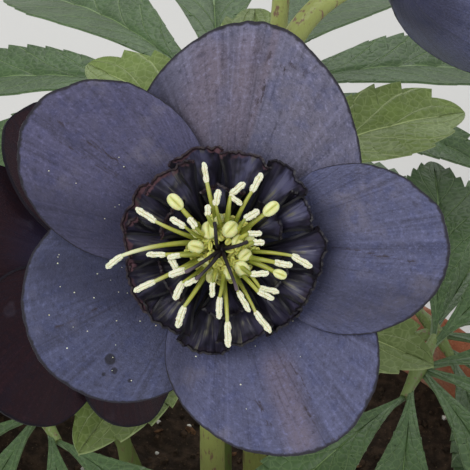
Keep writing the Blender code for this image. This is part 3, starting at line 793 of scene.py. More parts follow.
def leaf_skin(name, face, vein, underside, veins):
    """A leathery leaf, semi-gloss: deep green, with paler slanting veins, a net of small ones, and a matt
    underside."""
    made, node, place = begin(name)
    _, along, off_rib = blade_parts(node)
    below, _, _ = stains_of(node)
    net = node("TexVoronoi", place, 1 / (1.6 * MM), feature="DISTANCE_TO_EDGE")
    # Side veins run out and forward from the midrib, one for each tooth.
    phase = node("Math", off_rib, -7.0, node("Math", along, veins, **TIMES), **TIMES_PLUS)
    phase = node("Math", phase, 1.0, operation="PINGPONG")
    colour = layered(
        node, place, face,
        ([c * 1.5 for c in face], (12.0, 2), 0.38, 0.7, 0.7),
        ([c * 0.6 for c in face], (1.1, 2), 0.5, 0.75, 0.4),
        (vein, net, 0.09, 0.0, 0.22),
        (vein, phase, 0.10, 0.0, 0.5),
        (vein, off_rib, 0.022, 0.006, 0.95),
        (underside, below, 0, 1, 0.8),
    )
    relief = node("Math", node("MapRange", phase, 0.12, 0.0, 0, -0.7), net, **PLUS)
    return finish(node, made, colour, relief, 0.22, Roughness=0.42, Specular_IOR_Level=0.45)


def stem_skin(name, base, fleck, amount):
    """A fleshy stem, smooth with fine ribs along it: yellow-green, flecked red-purple."""
    made, node, place = begin(name)
    colour = layered(node, place, base, ([c * 0.72 for c in base], (18.0, 2), 0.35, 0.7, 1))
    drawn_out = node("VectorMath", place, (1, 1, 0.18), **TIMES)
    colour = layered(node, drawn_out, colour, (fleck, (0.9, 3), 0.55, 0.66, amount))
    ribs = node("TexNoise", node("VectorMath", place, (1, 1, 0.04), **TIMES), 1 / (0.7 * MM))
    return finish(node, made, colour, ribs, 0.25, Roughness=0.45, Specular_IOR_Level=0.4)


def fired_clay():
    """Earthenware, thrown and unglazed: orange-brown with sandy grain, turning lines, and a soft lime bloom
    low down and round the rim."""
    look = bpy.context.scene.hellebore_pot
    made, node, place = begin("fired_clay")
    _, _, height = node("SeparateXYZ", place, out=ALL)
    low = node("MapRange", height, 60 * MM, 4 * MM, 0, 0.20, **EASED)
    rim = node("MapRange", height, (POT_HEIGHT - 34) * MM, POT_HEIGHT * MM, 0, 0.10, **EASED)
    blotches = node("TexNoise", place, 1 / (22 * MM), 5.0, 0.62)
    lime = node("Math", node("Math", low, rim, **PLUS), blotches, **PLUS)
    sand = node("TexNoise", place, 1 / (0.8 * MM), 4.0)
    colour = layered(
        node, place, look.clay,
        ([c * 0.76 for c in look.clay], (30.0, 2), 0.35, 0.7, 1),
        (look.lime, lime, 0.52, 0.95, 0.8),
        ("D09A78", sand, 0.56, 0.70, 0.4),
        ("7C442E", sand, 0.42, 0.30, 0.5),
    )
    lines = node("TexNoise", node("VectorMath", place, (0.02, 0.02, 1), **TIMES), 1 / (1.1 * MM), 3.0)
    relief = node("Math", lines, 1.2, sand, **TIMES_PLUS)
    return finish(node, made, colour, relief, 0.30, Roughness=0.88, Specular_IOR_Level=0.3)


def damp_compost(name, base, pale):
    """Compost or a loose bit of it: rough, fibrous and crumbly."""
    made, node, place = begin(name)
    clods = node("TexNoise", place, 1 / (2.4 * MM), 6.0)
    colour = layered(node, place, base, (pale, clods, 0.42, 0.66, 1), ("6E5A44", (0.7, 3), 0.62, 0.72, 0.6))
    return finish(node, made, colour, clods, 1.2, Roughness=0.95, Specular_IOR_Level=0.2)


def painted_floor(tone):
    """A wide studio floor, matt and pale, with the faintest unevenness."""
    made, node, place = begin("painted_floor")
    colour = layered(node, place, tone, ([c * 0.94 for c in tone], (220.0, 2), 0.3, 0.7, 1))
    return finish(node, made, colour, Roughness=0.85)


def sepal_profile(flat_reach, cup, layer):
    """Reach and height of a sepal's middle surface, flat_reach away from the axis before it is cupped."""
    run = max(0.0, flat_reach - RECEPTACLE_RADIUS)
    slope = math.radians(cup) * (run / SEPAL_SPAN) ** 0.25
    lift = layer * SEPAL_LAYER
    reach = min(flat_reach, RECEPTACLE_RADIUS) + run * math.cos(slope) - lift * math.sin(slope)
    return reach, run * math.sin(slope) + lift * math.cos(slope)


def sepal_place(sepal, cup, seed):
    """The middle surface of one sepal: rays from a narrow foot out to an oval edge, puckered along them."""
    bearing_0, middle, half_length, half_width, layer, egg, skew = sepal
    widest_turn = math.acos(-half_length / middle)

    def place(s, t):
        foot = Vector((math.cos(t), math.sin(t))) * SEPAL_FOOT_RADIUS
        forward, sideways = math.cos(t * widest_turn), math.sin(t * widest_turn)
        along = middle + half_length * forward
        across = half_width * sideways * (1 - egg * forward) + skew * forward
        ragged = 1 + 0.012 * waver(7 * t, seed, 0) + 0.005 * waver(31 * t, seed, 5)
        flat = foot.lerp(Vector((along, across)) * ragged, s**1.4)
        bearing = math.radians(bearing_0) + math.atan2(flat.y, flat.x)
        reach, height = sepal_profile(flat.length, cup, layer)
        # Waves, the crease along the middle, puckers, broad swellings, and the edge turned down.
        height += SEPAL_WAVE * (reach / SEPAL_SPAN) ** 2 * math.sin(7 * bearing + 1)
        height += -0.28 * math.exp(-((t / 0.035) ** 2)) * math.sin(math.pi * min(1, s * 1.05)) ** 0.5
        height += 0.10 * waver(14 * t, 1.3 * s, seed) * s
        height += 0.16 * waver(2.2 * t, 2.2 * s, seed + 9) * s
        height += -0.35 * max(0.0, (s - 0.93) / 0.07) ** 2
        return Vector((reach * math.cos(bearing), reach * math.sin(bearing), height))

    return place


def line_nearness(point, start, end, width):
    """From 1 on the line between two places on a bloom's face to 0 at this width off it."""
    start, end = Vector(start), Vector(end)
    along = end - start
    share = max(0.0, min(1.0, (point - start).dot(along) / along.length_squared))
    return max(0.0, 1 - (point - start - along * share).length / width)


# Marks on the best bloom, right of and above its middle: the sepal's number, start, end and width.
WARM_STREAKS = (
    (2, (-5.0, 18.0), (-1.5, 30.0), 6.5),
    (2, (1.0, 16.0), (4.5, 32.0), 4.5),
    (2, (3.6, 17.0), (8.6, 34.5), 1.4),
    (5, (9.0, -19.0), (12.5, -30.0), 5.0),
)
# Places where dark brown scribbled lines are drawn.
DARK_LINE_PLACES = (
    (2, (9.5, 28.5), (12.0, 29.8), 1.9),
    (2, (13.0, 28.0), (14.8, 29.2), 0.9),
    (2, (5.5, 36.0), (9.0, 35.2), 0.9),
    (2, (6.2, 23.5), (7.8, 31.5), 0.9),
    (2, (3.4, 15.5), (5.6, 24.0), 0.6),
    (3, (-26.5, 20.8), (-15.5, 13.2), 0.9),
    (3, (-26.5, 17.4), (-17.0, 11.6), 0.6),
    (4, (-26.5, -12.3), (-19.0, -9.0), 0.6),
    (1, (17.5, 0.4), (30.5, -2.1), 0.8),
    (5, (11.2, -18.2), (14.0, -23.5), 0.9),
    (5, (5.2, -23.5), (8.4, -29.5), 0.9),
    (5, (12.4, -24.0), (15.0, -28.0), 0.7),
    (5, (15.5, -31.6), (18.8, -29.8), 1.3),
)
# Painted shade on the best bloom's sepals: shadows cast by the next sepal and by the ruff, and darker lower
# parts.
PAINTED_SHADE_PLACES = (
    (2, (-11.0, 27.0), (-7.0, 15.0), 6.5),
    (3, (-30.0, 6.0), (-14.0, 2.0), 9.0),
    (1, (18.0, -9.0), (34.0, -9.0), 8.0),
    (1, (17.0, 5.0), (17.5, -6.0), 5.0),
    (4, (-27.0, -3.0), (-14.0, -7.0), 7.0),
    (5, (-9.0, -27.0), (-7.0, -17.0), 6.0),
)
DARK_SPOTS = (
    ((-18.0, -17.6), 0.9),
    ((-17.3, -19.4), 0.5),
    ((-19.0, -20.0), 0.35),
    ((-14.8, -21.0), 0.28),
    ((-20.3, -17.7), 0.3),
)


def best_bloom_stains(number, place):
    """The stains at each point of a sepal of the best bloom: warm streaks, dark scribbled lines and painted
    shade.
    """

    def paint(s, t):
        here = place(s, t).to_2d()
        nearest = [
            max([line_nearness(here, *mark) for sepal, *mark in marks if sepal == number], default=0.0)
            for marks in (WARM_STREAKS, DARK_LINE_PLACES, PAINTED_SHADE_PLACES)
        ]
        return [near * near * (3 - 2 * near) for near in nearest]

    return paint


def no_stains(s, t):
    """A clean sepal."""
    return 0.0, 0.0, 0.0


class HELLEBORE_OT_sepals(bpy.types.Operator):
    """Adds the sepals and receptacle of each bloom"""

    bl_idname = "hellebore.sepals"
    bl_label = "Sepals"

    def execute(self, context):
        look = context.scene.hellebore_bloom
        clean = sepal_skin("sepal_skin", look.sepal, 0.1)
        # The second bloom's sepals are maroon-black with little shine: partly their own maroon, partly
        # painted shade, as this bloom is seen from behind in shade.
        maroon = sepal_skin("sepal_skin_maroon", linear("26151B"), 0.0, gloss=0.3)
        best = BLOOMS["bloom_1"]
        spots = []
        for (across, up), radius in DARK_SPOTS:
            height = sepal_profile(math.hypot(across, up), best["cup"], BEST_SEPALS[3][4])[1]
            spots.append((best["frame"] @ Vector((across, up, height)), radius))
        skins = {
            # The best bloom's sepals each have their own base tone, the top one lighter and greyer and the
            # two on the left darker: partly their own colour, partly painted light and shade, lighter towards
            # the upper right and darker towards the lower left.
            "bloom_1": [
                sepal_skin("sepal_skin_clouded", look.sepal, 0.32),
                sepal_skin("sepal_skin_grey", linear("67657B"), 0.5),
                sepal_skin("sepal_skin_dusky", linear("4D4B67"), 0.2),
                sepal_skin("sepal_skin_spotted", linear("454864"), 0.0, spots),
                clean,
            ],
            "bloom_2": [maroon] * len(OTHER_SEPALS),
            "bloom_3": [clean] * len(OTHER_SEPALS),
        }
        for name, bloom in BLOOMS.items():
            self.sepals(name, bloom, skins[name])
            self.receptacle(name, bloom, skins[name][0])
        return {"FINISHED"}

    def sepals(self, name, bloom, skins):
        """Five overlapping sepals, each bent from a grid and given its thickness."""
        rows, columns = round(44 * bloom["fineness"]), round(60 * bloom["fineness"])
        for i, (sepal, skin) in enumerate(zip(bloom["sepals"], skins), start=1):
            place = sepal_place(sepal, bloom["cup"], 10 * i + len(name))
            paint = best_bloom_stains(i, place) if bloom["sepals"] is BEST_SEPALS else no_stains
            made = sheet(rows, columns, lambda s, t: bloom["frame"] @ place(s, t), paint)
            modify(made, "SOLIDIFY", thickness=SEPAL_THICKNESS * MM, offset=0)
            settle(made, f"{name}_sepal_{i}", skin, f"{name}_sepals")

    def receptacle(self, name, bloom, skin):
        """The fleshy disc behind the sepals, that carries the whole bloom."""
        profile = [
            (0, RECEPTACLE_TOP),
            (RECEPTACLE_RADIUS * 0.85, RECEPTACLE_TOP),
            (RECEPTACLE_RADIUS, RECEPTACLE_TOP - 0.6),
            (RECEPTACLE_RADIUS, 0),
            (RECEPTACLE_RADIUS * 0.55, RECEPTACLE_BACK),
            (0, RECEPTACLE_BACK),
        ]
        made = lathe(rounded(profile, 0.8, 3), RING_SIDES)
        set_in_bloom(made, bloom)
        settle(made, f"{name}_receptacle", skin, f"{name}_sepals")


def nectary_place(bearing, half_angle, foot_height, rim_reach, rim_height, frill):
    """The middle surface of one nectary: a deep scoop with folded sides, that flares to a crinkled, upturned
    rim."""
    foot_reach = (RUFF_INNER + RUFF_OUTER) / 2
    tilt = 0.9 * math.sin(5 * math.radians(bearing) + 1)

    def place(s, t):
        side = abs(t) ** 2.8
        sway = 0.10 * side * waver(4 * s, math.copysign(3, t), bearing)
        turn = bearing + (t + sway) * (1 - 0.14 * side * s) * half_angle * (0.35 + 0.90 * s)
        lip = max(0.0, (s - 0.84) / 0.16) ** 2
        scallop = 0.8 * waver(1.9 * t, bearing, 2) + 0.4 * waver(9 * t, bearing, 7)
        reach = foot_reach + (rim_reach - foot_reach) * s * (1 - 0.05 * side * s) + scallop * s**3 - 0.3 * lip
        swell = math.sin(math.pi * s)
        scoop = 2.2 * side * math.sin(math.pi * 0.55 * s) + tilt * s * t - 0.5 * swell * (1 - side)
        flutes = 0.14 * swell * math.cos(5 * t + bearing) + 0.3 * waver(2.5 * t, 2 * s, bearing)
        crinkle = frill * s**6 * (math.sin(8 * t + bearing) + 0.6 * math.sin(19 * t + 2 * bearing))
        height = foot_height + (rim_height - foot_height) * s**1.2 + scoop + flutes + crinkle + 0.6 * lip
        return polar(turn, reach, height)

    return place


def nectary_stains_and_sheen(bearing):
    """How red a nectary's rim is, most at the upper left, and how much painted sheen its scoop takes, most at
    the upper right, where the light falls.
    """
    red = 0.15 + 0.85 * max(0.0, math.cos(math.radians(bearing - 140))) ** 0.5
    pale = 0.35 + 0.65 * max(0.0, math.cos(math.radians(bearing - 60)))
    return lambda s, t: (red, pale, 0)


class HELLEBORE_OT_nectaries(bpy.types.Operator):
    """Adds the ruff of nectaries of each bloom"""

    bl_idname = "hellebore.nectaries"
    bl_label = "Nectaries"

    def execute(self, context):
        skin = nectary_skin()
        frill = context.scene.hellebore_bloom.rim_frill
        for name, bloom in BLOOMS.items():
            draw = random.Random(3)
            rows, columns = round(20 * bloom["fineness"]), round(16 * bloom["fineness"])
            forms = []
            for i in range(bloom["nectaries"]):
                bearing = 360 * i / bloom["nectaries"] + draw.uniform(-4, 4)
                foot = RUFF_LOW + SEAT + (i % 2) * NECTARY_LAYER
                reach = bloom["ruff"] * (0.95 if i % 2 else 1.02) * draw.uniform(0.97, 1.03)
                half_angle = NECTARY_SPREAD / bloom["nectaries"] * draw.uniform(0.85, 1.2)
                forms.append((bearing, half_angle, foot, reach, foot + NECTARY_RISE))
            for i in range(bloom["inner_nectaries"]):
                bearing = 360 * (i + 0.5) / bloom["inner_nectaries"] + draw.uniform(-4, 4)
                foot = RUFF_HIGH - SEAT
                reach = bloom["ruff"] * INNER_NECTARY_REACH * draw.uniform(0.95, 1.05)
                half_angle = INNER_NECTARY_SPREAD / bloom["inner_nectaries"]
                forms.append((bearing, half_angle, foot, reach, foot + INNER_NECTARY_RISE))
            blades = []
            for form in forms:
                place = nectary_place(*form, frill)
                paint = nectary_stains_and_sheen(form[0])
                blades.append(sheet(rows, columns, lambda s, t: bloom["frame"] @ place(s, t), paint))
            ruff = join(blades)
            modify(ruff, "SOLIDIFY", thickness=NECTARY_THICKNESS * MM, offset=0)
            settle(ruff, f"{name}_ruff", skin, f"{name}_nectaries")
            ring = turned_ring(RUFF_OUTER, RUFF_LOW, RUFF_HIGH, bloom)
            settle(ring, f"{name}_ruff_ring", skin, f"{name}_nectaries")
        return {"FINISHED"}


def turned_ring(outer, low, high, bloom):
    """A turned ring with a round outer shoulder, open in the middle for the carpels."""
    inner, middle = RUFF_INNER, (low + high) / 2
    profile = [(inner, high), (outer * 0.8, high), (outer, middle), (outer * 0.9, low), (inner, low)]
    ring = lathe(rounded(profile, 0.5, 3) + [(inner, high)], RING_SIDES)
    set_in_bloom(ring, bloom)
    return ring


def lengthwise_ball(segments, rings):
    """A ball one in radius with its poles on the X axis."""
    made = added(
        bpy.ops.mesh.primitive_uv_sphere_add,
        segments=segments, ring_count=rings, radius=1, rotation=(0, math.pi / 2, 0),
    )
    bpy.ops.object.transform_apply(rotation=True)
    return made


def ridge(corner, width):
    """From 1 along the top of a lengthwise ball to 0 at its ends and this far to the sides."""
    return math.exp(-((corner.y / width) ** 2)) * (1 - corner.x**4)


def anther_master(seed):
    """An open anther two long, along +X: two ragged, pollen-covered lobes either side of a groove."""
    made = lengthwise_ball(24, 20)
    places = [corner.co for corner in made.data.vertices]
    stain(made, [(math.exp(-((p.y / 0.22) ** 2)) * (p.z > 0) * (1 - p.x**4), 0, 0) for p in places])
    for corner in made.data.vertices:
        x, y, z = corner.co
        blunt = math.copysign(abs(x) ** 0.75, x)
        fullness = max(0.0, 1 - abs(blunt) ** 5) ** 0.5 / max(0.2, math.sqrt(max(0.0, 1 - x * x)))
        groove = 1 - 0.42 * math.exp(-((y / 0.24) ** 2)) * (1 if z > 0 else 0.3)
        place = Vector((3.2 * x, y, z + seed))
        ragged = 1 + 0.34 * noise.noise(place * 1.4) + 0.24 * noise.noise(place * 4.3)
        bend = 0.25 * waver(1.2 * x, seed, 0)
        corner.co = Vector((blunt, y * ragged * fullness + bend, z * 0.75 * groove * ragged * fullness))
    return made


def closed_anther_master(segments, rings, young):
    """A closed anther one in radius, along +X: two plump lobes that meet in a seam, stained along the seam,
    and all over if it is young."""
    made = lengthwise_ball(segments, rings)
    stain(made, [(ridge(corner.co, 0.10), ridge(corner.co, 0.34), young) for corner in made.data.vertices])
    for corner in made.data.vertices:
        x, y, z = corner.co
        seam = ridge(corner.co, 0.16)
        blunt = math.copysign(abs(x) ** 0.85, x)
        corner.co = Vector((blunt * (1 - 0.06 * x), y, z * 0.72 * (1 - 0.20 * seam)))
    return made


def filament(bloom, foot, height, girth, root_turn):
    """One filament from the ring to its anther's foot, in a rising arch that thins towards the anther. Its
    root is turned by degrees."""
    bearing = math.degrees(math.atan2(foot.y, foot.x))
    root = polar(bearing + root_turn, STAMEN_RING_OUTER * 0.75, STAMEN_RING_HIGH - 1.2)
    rise = polar(bearing + root_turn, STAMEN_RING_OUTER * 0.85, height - 2.0)
    bow = polar(bearing + root_turn * 0.6 + 3, foot.to_2d().length * 0.66, height + 0.5)
    arch = bezier(root, rise, bow, Vector((foot.x, foot.y, height)), FILAMENT_STEPS)
    radii = [FILAMENT_RADIUS * girth * (1.4 - 0.6 * i / FILAMENT_STEPS) for i in range(len(arch))]
    return tube([bloom["frame"] @ point for point in arch], radii, 8)


def laid(master, bloom, foot, tip, length, width):
    """A copy of an anther on the bloom, stretched along +X between two points, with its +Z side up."""
    along = (tip - foot).normalized()
    side = UP.cross(along).normalized()
    turn = Matrix((along, side, along.cross(side))).transposed().to_4x4()
    place = Matrix.Translation((foot + tip) / 2) @ turn @ Matrix.Diagonal((length / 2, width, width, 1))
    made = master.copy()
    made.data = master.data.copy()
    made.data.transform(bloom["frame"] @ place)
    bpy.context.collection.objects.link(made)
    return made


class HELLEBORE_OT_stamens(bpy.types.Operator):
    """Adds the open and unopened stamens of each bloom"""

    bl_idname = "hellebore.stamens"
    bl_label = "Stamens"
    titles = "filaments", "anthers", "closed_anthers"

    def execute(self, context):
        skins = filament_skin(), pollen_coat(), unopened_skin()
        opened = [anther_master(seed) for seed in (2, 5, 9)]
        plump, young = closed_anther_master(32, 16, 0), closed_anther_master(8, 5, 1)
        for name, bloom in BLOOMS.items():
            self.stamens(name, bloom, opened, plump, young, skins)
        for master in (*opened, plump, young):
            bpy.data.objects.remove(master)
        return {"FINISHED"}

    def stamens(self, name, bloom, opened, plump, young, skins):
        """Filaments, open anthers and closed anthers, each lot as one piece on the ring of the stamens."""
        draw = random.Random(8)
        filaments, anthers, closed = [], [], []
        for foot_across, foot_up, tip_across, tip_up, height, *root_turn in bloom["open"]:
            foot, tip = Vector((foot_across, foot_up, height)), Vector((tip_across, tip_up, height - 0.2))
            turn = root_turn[0] if root_turn else draw.uniform(-7, 7)
            filaments.append(filament(bloom, foot, height, draw.uniform(0.85, 1.2), turn))
            width = draw.uniform(0.42, 0.54)
            anthers.append(laid(draw.choice(opened), bloom, foot, tip, (tip - foot).length + 0.5, width))
        for across, up, radius in bloom["round"]:
            middle = Vector((across, up, STAMEN_TIP + 0.4))
            outward = Vector((across, up, 0)).normalized() * radius
            filaments.append(filament(bloom, middle - outward * 0.8, STAMEN_TIP, 1.3, 0))
            ends = middle - outward, middle + outward
            closed.append(laid(plump, bloom, *ends, radius * 2.3, radius * 0.76))
        for across, up, seam, radius, height in bloom["centre"]:
            middle = Vector((across, up, height))
            along = polar(seam, radius, -0.25 * radius)
            filaments.append(filament(bloom, middle * 0.98, height - 0.4, 1.2, 0))
            ends = middle - along, middle + along
            closed.append(laid(plump, bloom, *ends, radius * 2.1, radius * 0.86))
        closed += self.crowd(bloom, young, draw)
        ring = turned_ring(STAMEN_RING_OUTER, STAMEN_RING_LOW, STAMEN_RING_HIGH, bloom)
        stalks = join([ring] + filaments)
        stain(stalks, share_off_axis(stalks, bloom))
        for piece, title, skin in zip((stalks, join(anthers), join(closed)), self.titles, skins):
            settle(piece, f"{name}_{title}", skin, f"{name}_stamens")

    def crowd(self, bloom, master, draw):
        """The small young anthers that fill the space between the carpels and the big ones, two deep."""
        young = []
        for i in range(CROWD):
            reach = 1.15 + 4.3 * (i / CROWD) ** 0.6
            middle = polar(GOLDEN_ANGLE * i + draw.uniform(-9, 9), reach, 11.0 - 0.36 * reach - (i % 3) * 0.5)
            along = polar(draw.uniform(0, 360), 1, draw.uniform(-0.8, 0.8)) * draw.uniform(0.45, 0.75)
            ends = middle - along, middle + along
            young.append(laid(master, bloom, *ends, 2 * along.length, draw.uniform(0.34, 0.55)))
        return young


class HELLEBORE_OT_carpels(bpy.types.Operator):
    """Adds the carpels and styles of each bloom"""

    bl_idname = "hellebore.carpels"
    bl_label = "Carpels"

    def execute(self, context):
        skin = style_skin()
        for name, bloom in BLOOMS.items():
            profile = [
                (0, CARPEL_TOP),
                (CARPEL_RADIUS * 0.45, CARPEL_TOP - 0.5),
                (CARPEL_RADIUS, STAMEN_RING_LOW),
                (CARPEL_RADIUS, RUFF_LOW),
                (0, RUFF_LOW),
            ]
            body = lathe(rounded(profile, 0.5, 3), 40)
            for corner in body.data.vertices:
                lobe = 1 + 0.10 * math.cos(5 * math.atan2(corner.co.y, corner.co.x))
                corner.co = Vector((corner.co.x * lobe, corner.co.y * lobe, corner.co.z))
            set_in_bloom(body, bloom)
            pieces = [body]
            for foot_across, foot_up, tip_across, tip_up in bloom["styles"]:
                foot = Vector((foot_across, foot_up, CARPEL_TOP))
                tip = Vector((tip_across, tip_up, CARPEL_TOP))
                root = Vector((foot_across * 0.5, foot_up * 0.5, CARPEL_TOP - 1.6))
                top = foot + UP * (STYLE_ARCH * 0.9)
                knee = foot.lerp(tip, 0.6) + Vector((0.3, -0.2, STYLE_ARCH * 1.1))
                tip = tip + UP * (STYLE_ARCH * 0.8)
                path = [bloom["frame"] @ point for point in bezier(root, top, knee, tip, STYLE_STEPS)]
                # A style thins towards its tip, and ends in a slightly wider stigma.
                radii = [0.36 - 0.11 * i / STYLE_STEPS + (0.06 if i > 12 else 0) for i in range(len(path))]
                pieces.append(tube(path, radii, 8))
            carpels = join(pieces)
            stain(carpels, share_off_axis(carpels, bloom))
            settle(carpels, f"{name}_styles", skin, f"{name}_carpels")
        return {"FINISHED"}


class HELLEBORE_OT_bud(bpy.types.Operator):
    """Adds the closed bud"""

    bl_idname = "hellebore.bud"
    bl_label = "Bud"

    def execute(self, context):
        made = added(bpy.ops.mesh.primitive_uv_sphere_add, segments=80, ring_count=40, radius=1)
        for corner in made.data.vertices:
            x, y, z = corner.co
            # Each sepal wraps over the next, so the girth rises slowly and drops in a step five times round.
            turn = (5 * math.atan2(y, x) / (2 * math.pi) + 0.6 * z) % 1.0
            wrap = 1.02 + 0.05 * turn - 0.06 * math.exp(-((turn / 0.08) ** 2))
            girth = BUD_GIRTH * BUD_LENGTH * wrap * (1 - 0.22 * z)
            corner.co = BUD_FRAME @ Vector((x * girth, y * girth, (z + 1) * BUD_LENGTH / 2))
        # All three stains are full, so the bud is duller and browner than an open sepal.
        stain(made, [(1, 1, 1)] * len(made.data.vertices))
        skin = sepal_skin("bud_skin", context.scene.hellebore_bloom.sepal, 0.35)
        settle(made, "bud", skin, "bud_1")
        return {"FINISHED"}


def leaflet(foot, along, normal, length, half_width, teeth, seed):
    """A leaflet: a saw-edged blade, quilted between veins, folded along its midrib and arched, and a rib."""
    side = normal.cross(along).normalized()
    rows, columns = teeth * 6, LEAFLET_COLUMNS

    def place(s, t):
        spread = math.copysign(abs(t) ** 1.3, t)
        edge = abs(t) ** 3
        tooth = (s * teeth) % 1.0 if s < 0.999 else 0.0
        envelope = math.sin(math.pi * s**1.6)
        width = half_width * envelope * (0.96 + 0.13 * edge * tooth) + 0.3
        reach = length * s + edge * 0.45 * tooth * length / teeth * min(1, envelope * 3)
        rise = length * LEAFLET_ARCH * (s - 1.6 * s * s) + LEAFLET_FOLD * width * abs(spread)
        # The quilting between side veins, the sunk midrib, and the ruffled edge.
        rise += 0.34 * abs(math.sin(math.pi * (s * teeth / 2 - 1.6 * abs(spread)))) * envelope * (1 - edge)
        rise += -0.35 * math.exp(-((spread / 0.05) ** 2))
        rise += 0.5 * edge * envelope * waver(9 * s, 2 * math.copysign(1, t), seed)
        return (foot + along * reach + normal * rise + side * (width * spread)) * MM

    blade = sheet(rows, columns, place)
    modify(blade, "SOLIDIFY", thickness=LEAF_THICKNESS * MM, offset=0)
    # Solidify adds the corners of the lower skin after those of the upper one. The lower ones are stained.
    upper = (rows + 1) * (columns + 1)
    stain(blade, [(0, 0, 0)] * upper + [(1, 1, 1)] * (len(blade.data.vertices) - upper))
    shares = [i / RIB_STEPS for i in range(RIB_STEPS + 1)]
    spine = [place(share, 0) - normal * 0.3 * MM for share in shares]
    return [blade, tube(spine, [0.75 - 0.6 * share for share in shares], 6)]


def planted(bearing, spacing, lean):
    """The straight foot of a stem in millimetres: its lowest point, its collar, and the way it rises."""
    outward = polar(bearing, 1)
    rise = (UP + outward * lean).normalized()
    ground = outward * spacing + UP * SOIL_TOP
    return ground - rise * PLANTED_DEPTH, ground + rise * COLLAR_HEIGHT, rise


def in_metres(points):
    """Points in millimetres turned to metres."""
    return [point * MM for point in points]


class HELLEBORE_OT_leaves(bpy.types.Operator):
    """Adds the basal leaves with their stalks"""

    bl_idname = "hellebore.leaves"
    bl_label = "Leaves"

    def execute(self, context):
        look = context.scene.hellebore_foliage
        blade = leaf_skin("leaf_skin", look.blade, look.blade_vein, linear("6F8460"), look.teeth)
        stalk = stem_skin("petiole_skin", linear("6E7F45"), look.fleck, 0.5)
        for number, (bearing, reach, height, longest, droop) in enumerate(LEAVES, start=1):
            outward = polar(bearing, 1)
            foot, collar, rise = planted(bearing, LEAF_RING, PETIOLE_LEAN)
            hub = outward * reach + UP * height
            fall = math.radians(droop)
            forward = outward * math.cos(fall) - UP * math.sin(fall)
            normal = outward * math.sin(fall) + UP * math.cos(fall)
            span = (hub - collar).length
            handles = collar, collar + rise * 0.5 * span, hub - forward * 0.3 * span, hub
            path = [foot] + bezier(*handles, PETIOLE_STEPS)
            radii = [PETIOLE_RADIUS * (1 - 0.3 * i / len(path)) for i in range(len(path))]
            petiole = tube(in_metres(path), radii, 12)
            name, side = f"leaf_{number}", normal.cross(forward).normalized()
            settle(join([petiole, self.hub(hub, normal, side)]), f"{name}_stalk", stalk, name)
            hand = self.hand(hub, forward, normal, side, longest, look.teeth)
            settle(hand, f"{name}_blades", blade, name)
        return {"FINISHED"}

    def hub(self, hub, normal, side):
        """The knuckle where the leaflets meet, with the short arms that carry the outer ones."""
        arm = max(LEAF_ARMS.values()) + 0.6
        bend = [side * (arm * u) + normal * (1.1 * (1 - abs(u))) for u in (-1, -0.6, -0.2, 0.2, 0.6, 1)]
        return tube(in_metres([hub + point for point in bend]), [1.0, 1.25, 1.7, 1.7, 1.25, 1.0], 10)

    def hand(self, hub, forward, normal, side, longest, teeth):
        """Saw-edged leaflets that spread from the hub."""
        pieces = []
        for angle in LEAF_SPREAD:
            turn = math.radians(angle)
            along = forward * math.cos(turn) + side * math.sin(turn)
            foot = hub + side * math.copysign(LEAF_ARMS.get(abs(angle), 0.0), angle)
            length = longest * (1 - 0.38 * abs(angle / LEAF_SPREAD[-1]) ** 1.6)
            pieces += leaflet(foot, along, normal, length, LEAFLET_HALF_WIDTH * length, teeth, angle / 10)
        return join(pieces)


def stalk_end(bloom_frame, back):
    """Where a stalk ends behind a bloom or bud in millimetres, and the way that it points there."""
    tip = bloom_frame @ Vector((0, 0, back - STALK_GAP)) / MM
    return tip, (bloom_frame.to_3x3() @ UP).normalized()


class HELLEBORE_OT_stems(bpy.types.Operator):
    """Adds the flower stems with their branches and bracts"""

    bl_idname = "hellebore.stems"
    bl_label = "Stems"

    def execute(self, context):
        look = context.scene.hellebore_foliage
        self.rind = stem_skin("stem_skin", look.stem, look.fleck, 0.75)
        self.bract = leaf_skin("bract_skin", look.bract, linear("A9B67C"), linear("8E9C68"), BRACT_TEETH)
        ends = {name: stalk_end(bloom["frame"], RECEPTACLE_BACK) for name, bloom in BLOOMS.items()}
        self.stem("stem_1", 250, ends["bloom_1"], ends["bloom_2"], (165, 236, 338))
        self.stem("stem_2", 40, ends["bloom_3"], stalk_end(BUD_FRAME, 0), (20, 90, 140))
        return {"FINISHED"}

    def stem(self, name, bearing, main_end, side_end, bearings):
        """One stem, its branch, and the bracts that clasp its fork."""
        foot, collar, rise = planted(bearing, STEM_RING, STEM_LEAN)
        tip, facing = main_end
        span = (tip - collar).length
        neck = tip - facing * STALK_NECK
        handles = collar, collar + rise * 0.55 * span, neck - facing * 0.26 * span, neck
        path = [foot] + bezier(*handles, STEM_STEPS * STEM_FINENESS) + [tip]
        radii = [STEM_RADIUS * (1 - 0.35 * i / len(path)) for i in range(len(path))]
        radii[-1] *= 1.25
        main = tube(in_metres(path), radii, 16)
        coarse = [foot] + bezier(*handles, STEM_STEPS) + [tip]
        root = coarse[FORK]
        along = (coarse[FORK + 1] - root).normalized()
        side_tip, side_facing = side_end
        reach = (side_tip - root).length
        neck = side_tip - side_facing * STALK_NECK
        handles = root, root + along * 0.4 * reach, neck - side_facing * 0.4 * reach, neck
        bend = bezier(*handles, BRANCH_STEPS) + [side_tip]
        radii = [BRANCH_RADIUS * (1.2 - 0.25 * min(1, i / 8)) for i in range(len(bend))]
        branch = tube(in_metres(bend), radii, 12)
        settle(join([main, branch]), f"{name}_stalks", self.rind, name)
        pieces = []
        for i, bearing in enumerate(bearings):
            forward = polar(bearing, 1, BRACT_LIFT).normalized()
            normal = (UP - forward * forward.z).normalized()
            foot = root - forward * BRACT_SEAT
            pieces += leaflet(foot, forward, normal, BRACT_LENGTH, BRACT_HALF_WIDTH, BRACT_TEETH, i)
        settle(join(pieces), f"{name}_bracts", self.bract, name)


